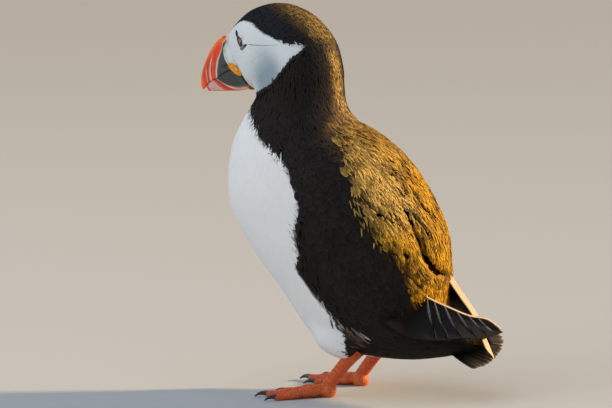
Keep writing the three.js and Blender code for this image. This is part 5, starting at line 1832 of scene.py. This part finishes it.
def foot_way(name, degrees=0.0):
    """Direction on the floor: straight ahead is -x, and the foot turns outwards."""
    angle = np.radians(FOOT_HEADING[name] + degrees)
    return np.array([-np.cos(angle), -SIDES[name] * np.sin(angle), 0.0])


# %% Tarsus
def tarsus(name):
    """An oval limb, thicker at both ends, with broad rounded scutes across its front."""
    t = np.linspace(0, 1, 180)
    top, bottom = HEEL[name], FOOT_PAD[name]
    path = bent(top, (top + bottom) / 2 + np.array([-0.6, 0, 0.6]), bottom, t)
    share = np.abs(2 * t - 1) ** 1.8
    across = mix(2.9, np.where(t < 0.5, 4.3, 4.0), share)
    upward = mix(3.6, np.where(t < 0.5, 4.6, 3.4), share)
    rings = limb_rings(path, across, upward, 72)
    out = unit(rings - path[:, None])
    front = smooth(out @ foot_way(name), 0.1, 0.6)
    scute = np.abs(np.sin(np.pi * t * LEG_SCUTES))[:, None] ** 0.5
    rings = rings + out * column(0.35 * front * (scute - 1) + 0.15 * front)
    paint = layers(LEG_ORANGE, (CREASE_RED, 0.85 * front * (1 - scute) + 0.25 * (1 - front)),
                   (CREASE_RED, 0.6 * smooth(0.25 - t, 0, 0.2)[:, None] + 0 * front))
    tube_piece(f"tarsus_skin_{name}", rings, paint, LEG_ORANGE, leather,
               (f"tarsus_{name}",))


# %% [markdown]
# Toes, webs and heel pad are made as simple closed surfaces first. A voxel remesh then melts
# them into one skin, so that the webs run into the toes without a seam.


# %% Toes and webs
def toe_path(base, way, length, radius, steps=60):
    """From the heel pad down to the floor, as high as the toe is thick, and out to its end."""
    t = np.linspace(0, 1, steps)
    heights = spline(np.array([[1.5], [1.05], [0.5]]) * radius, t * 2)
    return base + way * (length * t)[:, None] + UP * heights, t


def web_sheet(base, first, second):
    """Between two toes: straight across, with its front edge curved in as t(1 - t)."""
    s = np.linspace(0, 1, 40)[:, None]
    t = np.linspace(0, 1, 40)[None, :]
    reach = mix(0.04, 0.94, s) * (1 - WEB_HOLLOW * t * (1 - t))
    flat = base + (mix(first, second, column(t + 0 * s)) - base) * column(reach)
    top = flat + UP * column(mix(4.4, 1.35, s) - 0.5 * np.sin(np.pi * t) * s)
    return closed_tube(np.concatenate([top, (flat + UP * 0.15)[:, ::-1]], 1))


# %% Melting surfaces into one skin
def melted(name, points, faces):
    """The points and faces of one skin round overlapping closed surfaces."""
    mesh = bpy.data.meshes.new(name)
    mesh.from_pydata((points * MM).tolist(), [], faces.tolist())
    thing = new_object(name, mesh)
    remesh = thing.modifiers.new("melt", "REMESH")
    remesh.mode = "VOXEL"
    remesh.voxel_size = VOXEL * MM
    relax = thing.modifiers.new("relax", "SMOOTH")
    relax.iterations = RELAXING
    relax.factor = 0.5
    done = thing.evaluated_get(bpy.context.evaluated_depsgraph_get()).to_mesh()
    new_points = np.empty(len(done.vertices) * 3)
    done.vertices.foreach_get("co", new_points)
    loops = np.empty(len(done.loops), np.int32)
    done.loops.foreach_get("vertex_index", loops)
    bpy.data.objects.remove(thing)
    bpy.data.meshes.remove(mesh)
    return new_points.reshape(-1, 3) / MM, loops.reshape(-1, 4)


# %% Foot
def foot(name):
    """Toes, webs and heel pad melted together, then pushed out by knuckles and scutes."""
    base = FOOT_PAD[name] * FLAT
    ways = {toe: foot_way(name, spread) for toe, (spread, _, _) in TOES.items()}
    surfaces = []
    for toe, (_, length, radius) in TOES.items():
        path, t = toe_path(base, ways[toe], length, radius)
        knuckles = 1 + 0.11 * np.cos(6 * np.pi * t)
        thick = mix(1.12, 0.62, t) * radius * knuckles * (1 - 0.3 * smooth(t, 0.96, 1))
        surfaces.append(closed_tube(limb_rings(path, thick, thick)))
    inner, middle, outer = (base + ways[toe] * TOES[toe][1] for toe in TOES)
    surfaces += [web_sheet(base, inner, middle), web_sheet(base, middle, outer)]
    surfaces.append(closed_tube(ball_grid(40, 40) * HEEL_PAD[0] + base + UP * HEEL_PAD[1]))
    points, faces = joined(surfaces)
    points[:, 2] = np.maximum(points[:, 2], 0.0)
    points, faces = melted(f"foot_{name}_raw", points, faces)
    points[:, 2] = np.maximum(points[:, 2], 0.0)
    on_toe = np.zeros(len(points))
    along_toe = np.zeros(len(points))
    for toe, (_, length, radius) in TOES.items():
        flat = (points - base) * FLAT
        ahead = flat @ ways[toe]
        aside = np.linalg.norm(flat - ahead[:, None] * ways[toe], axis=-1)
        near = smooth(radius * 0.95 - aside, 0, radius * 0.45) * smooth(ahead, 2, 6)
        along_toe = np.where(near > on_toe, ahead, along_toe)
        on_toe = np.maximum(on_toe, near)
    scute = np.abs(np.sin(along_toe * np.pi / TOE_SCUTE)) ** 0.5
    top = smooth(points[:, 2], 0.6, 2.0)
    rib = 0.5 + 0.5 * np.sin(points @ ways["middle"] * 3.1)
    paint = layers(WEB_ORANGE, (LEG_ORANGE, on_toe), (CREASE_RED, 0.7 * on_toe * (1 - scute) * top),
                   (CREASE_RED, 0.22 * (1 - on_toe) * rib * top))
    points[:, 2] += 0.28 * on_toe * (scute - 0.6) * top
    piece(f"foot_skin_{name}", points, faces, leather, (f"foot_{name}",), paint)


# %% Claw
def claw(name, toe):
    """A horn that tapers along an arch to a rounded tip, sunk into the toe's end."""
    spread, length, radius = TOES[toe]
    way = foot_way(name, spread)
    start = FOOT_PAD[name] * FLAT + way * (length - CLAW_SUNK)
    lift = radius * 0.6
    t = np.linspace(0, 1, 48) ** 0.8
    path = bent(start + UP * (lift + 0.32), start + way * 4.4 + UP * (lift + 1.3),
                start + way * CLAW_REACH + UP * 0.5, t)
    blunt = np.sqrt(1 - smooth(t, 0.9, 1.06) ** 2)
    rings = limb_rings(path, mix(*CLAW_WIDE, t) * blunt, mix(*CLAW_HIGH, t) * blunt, 32)
    rings[..., 2] = np.maximum(rings[..., 2], 0.05)
    paint = mix(CLAW_DARK * 2.2, CLAW_DARK * 0.5, smooth(t, 0, 0.5)[:, None, None] + 0 * rings)
    tube_piece(f"claw_horn_{toe}_{name}", rings, paint, CLAW_DARK, claw_horn,
               (f"claw_{toe}_{name}",))


# %% Both legs
for name in SIDES:
    tarsus(name)
    foot(name)
    for toe in TOES:
        claw(name, toe)
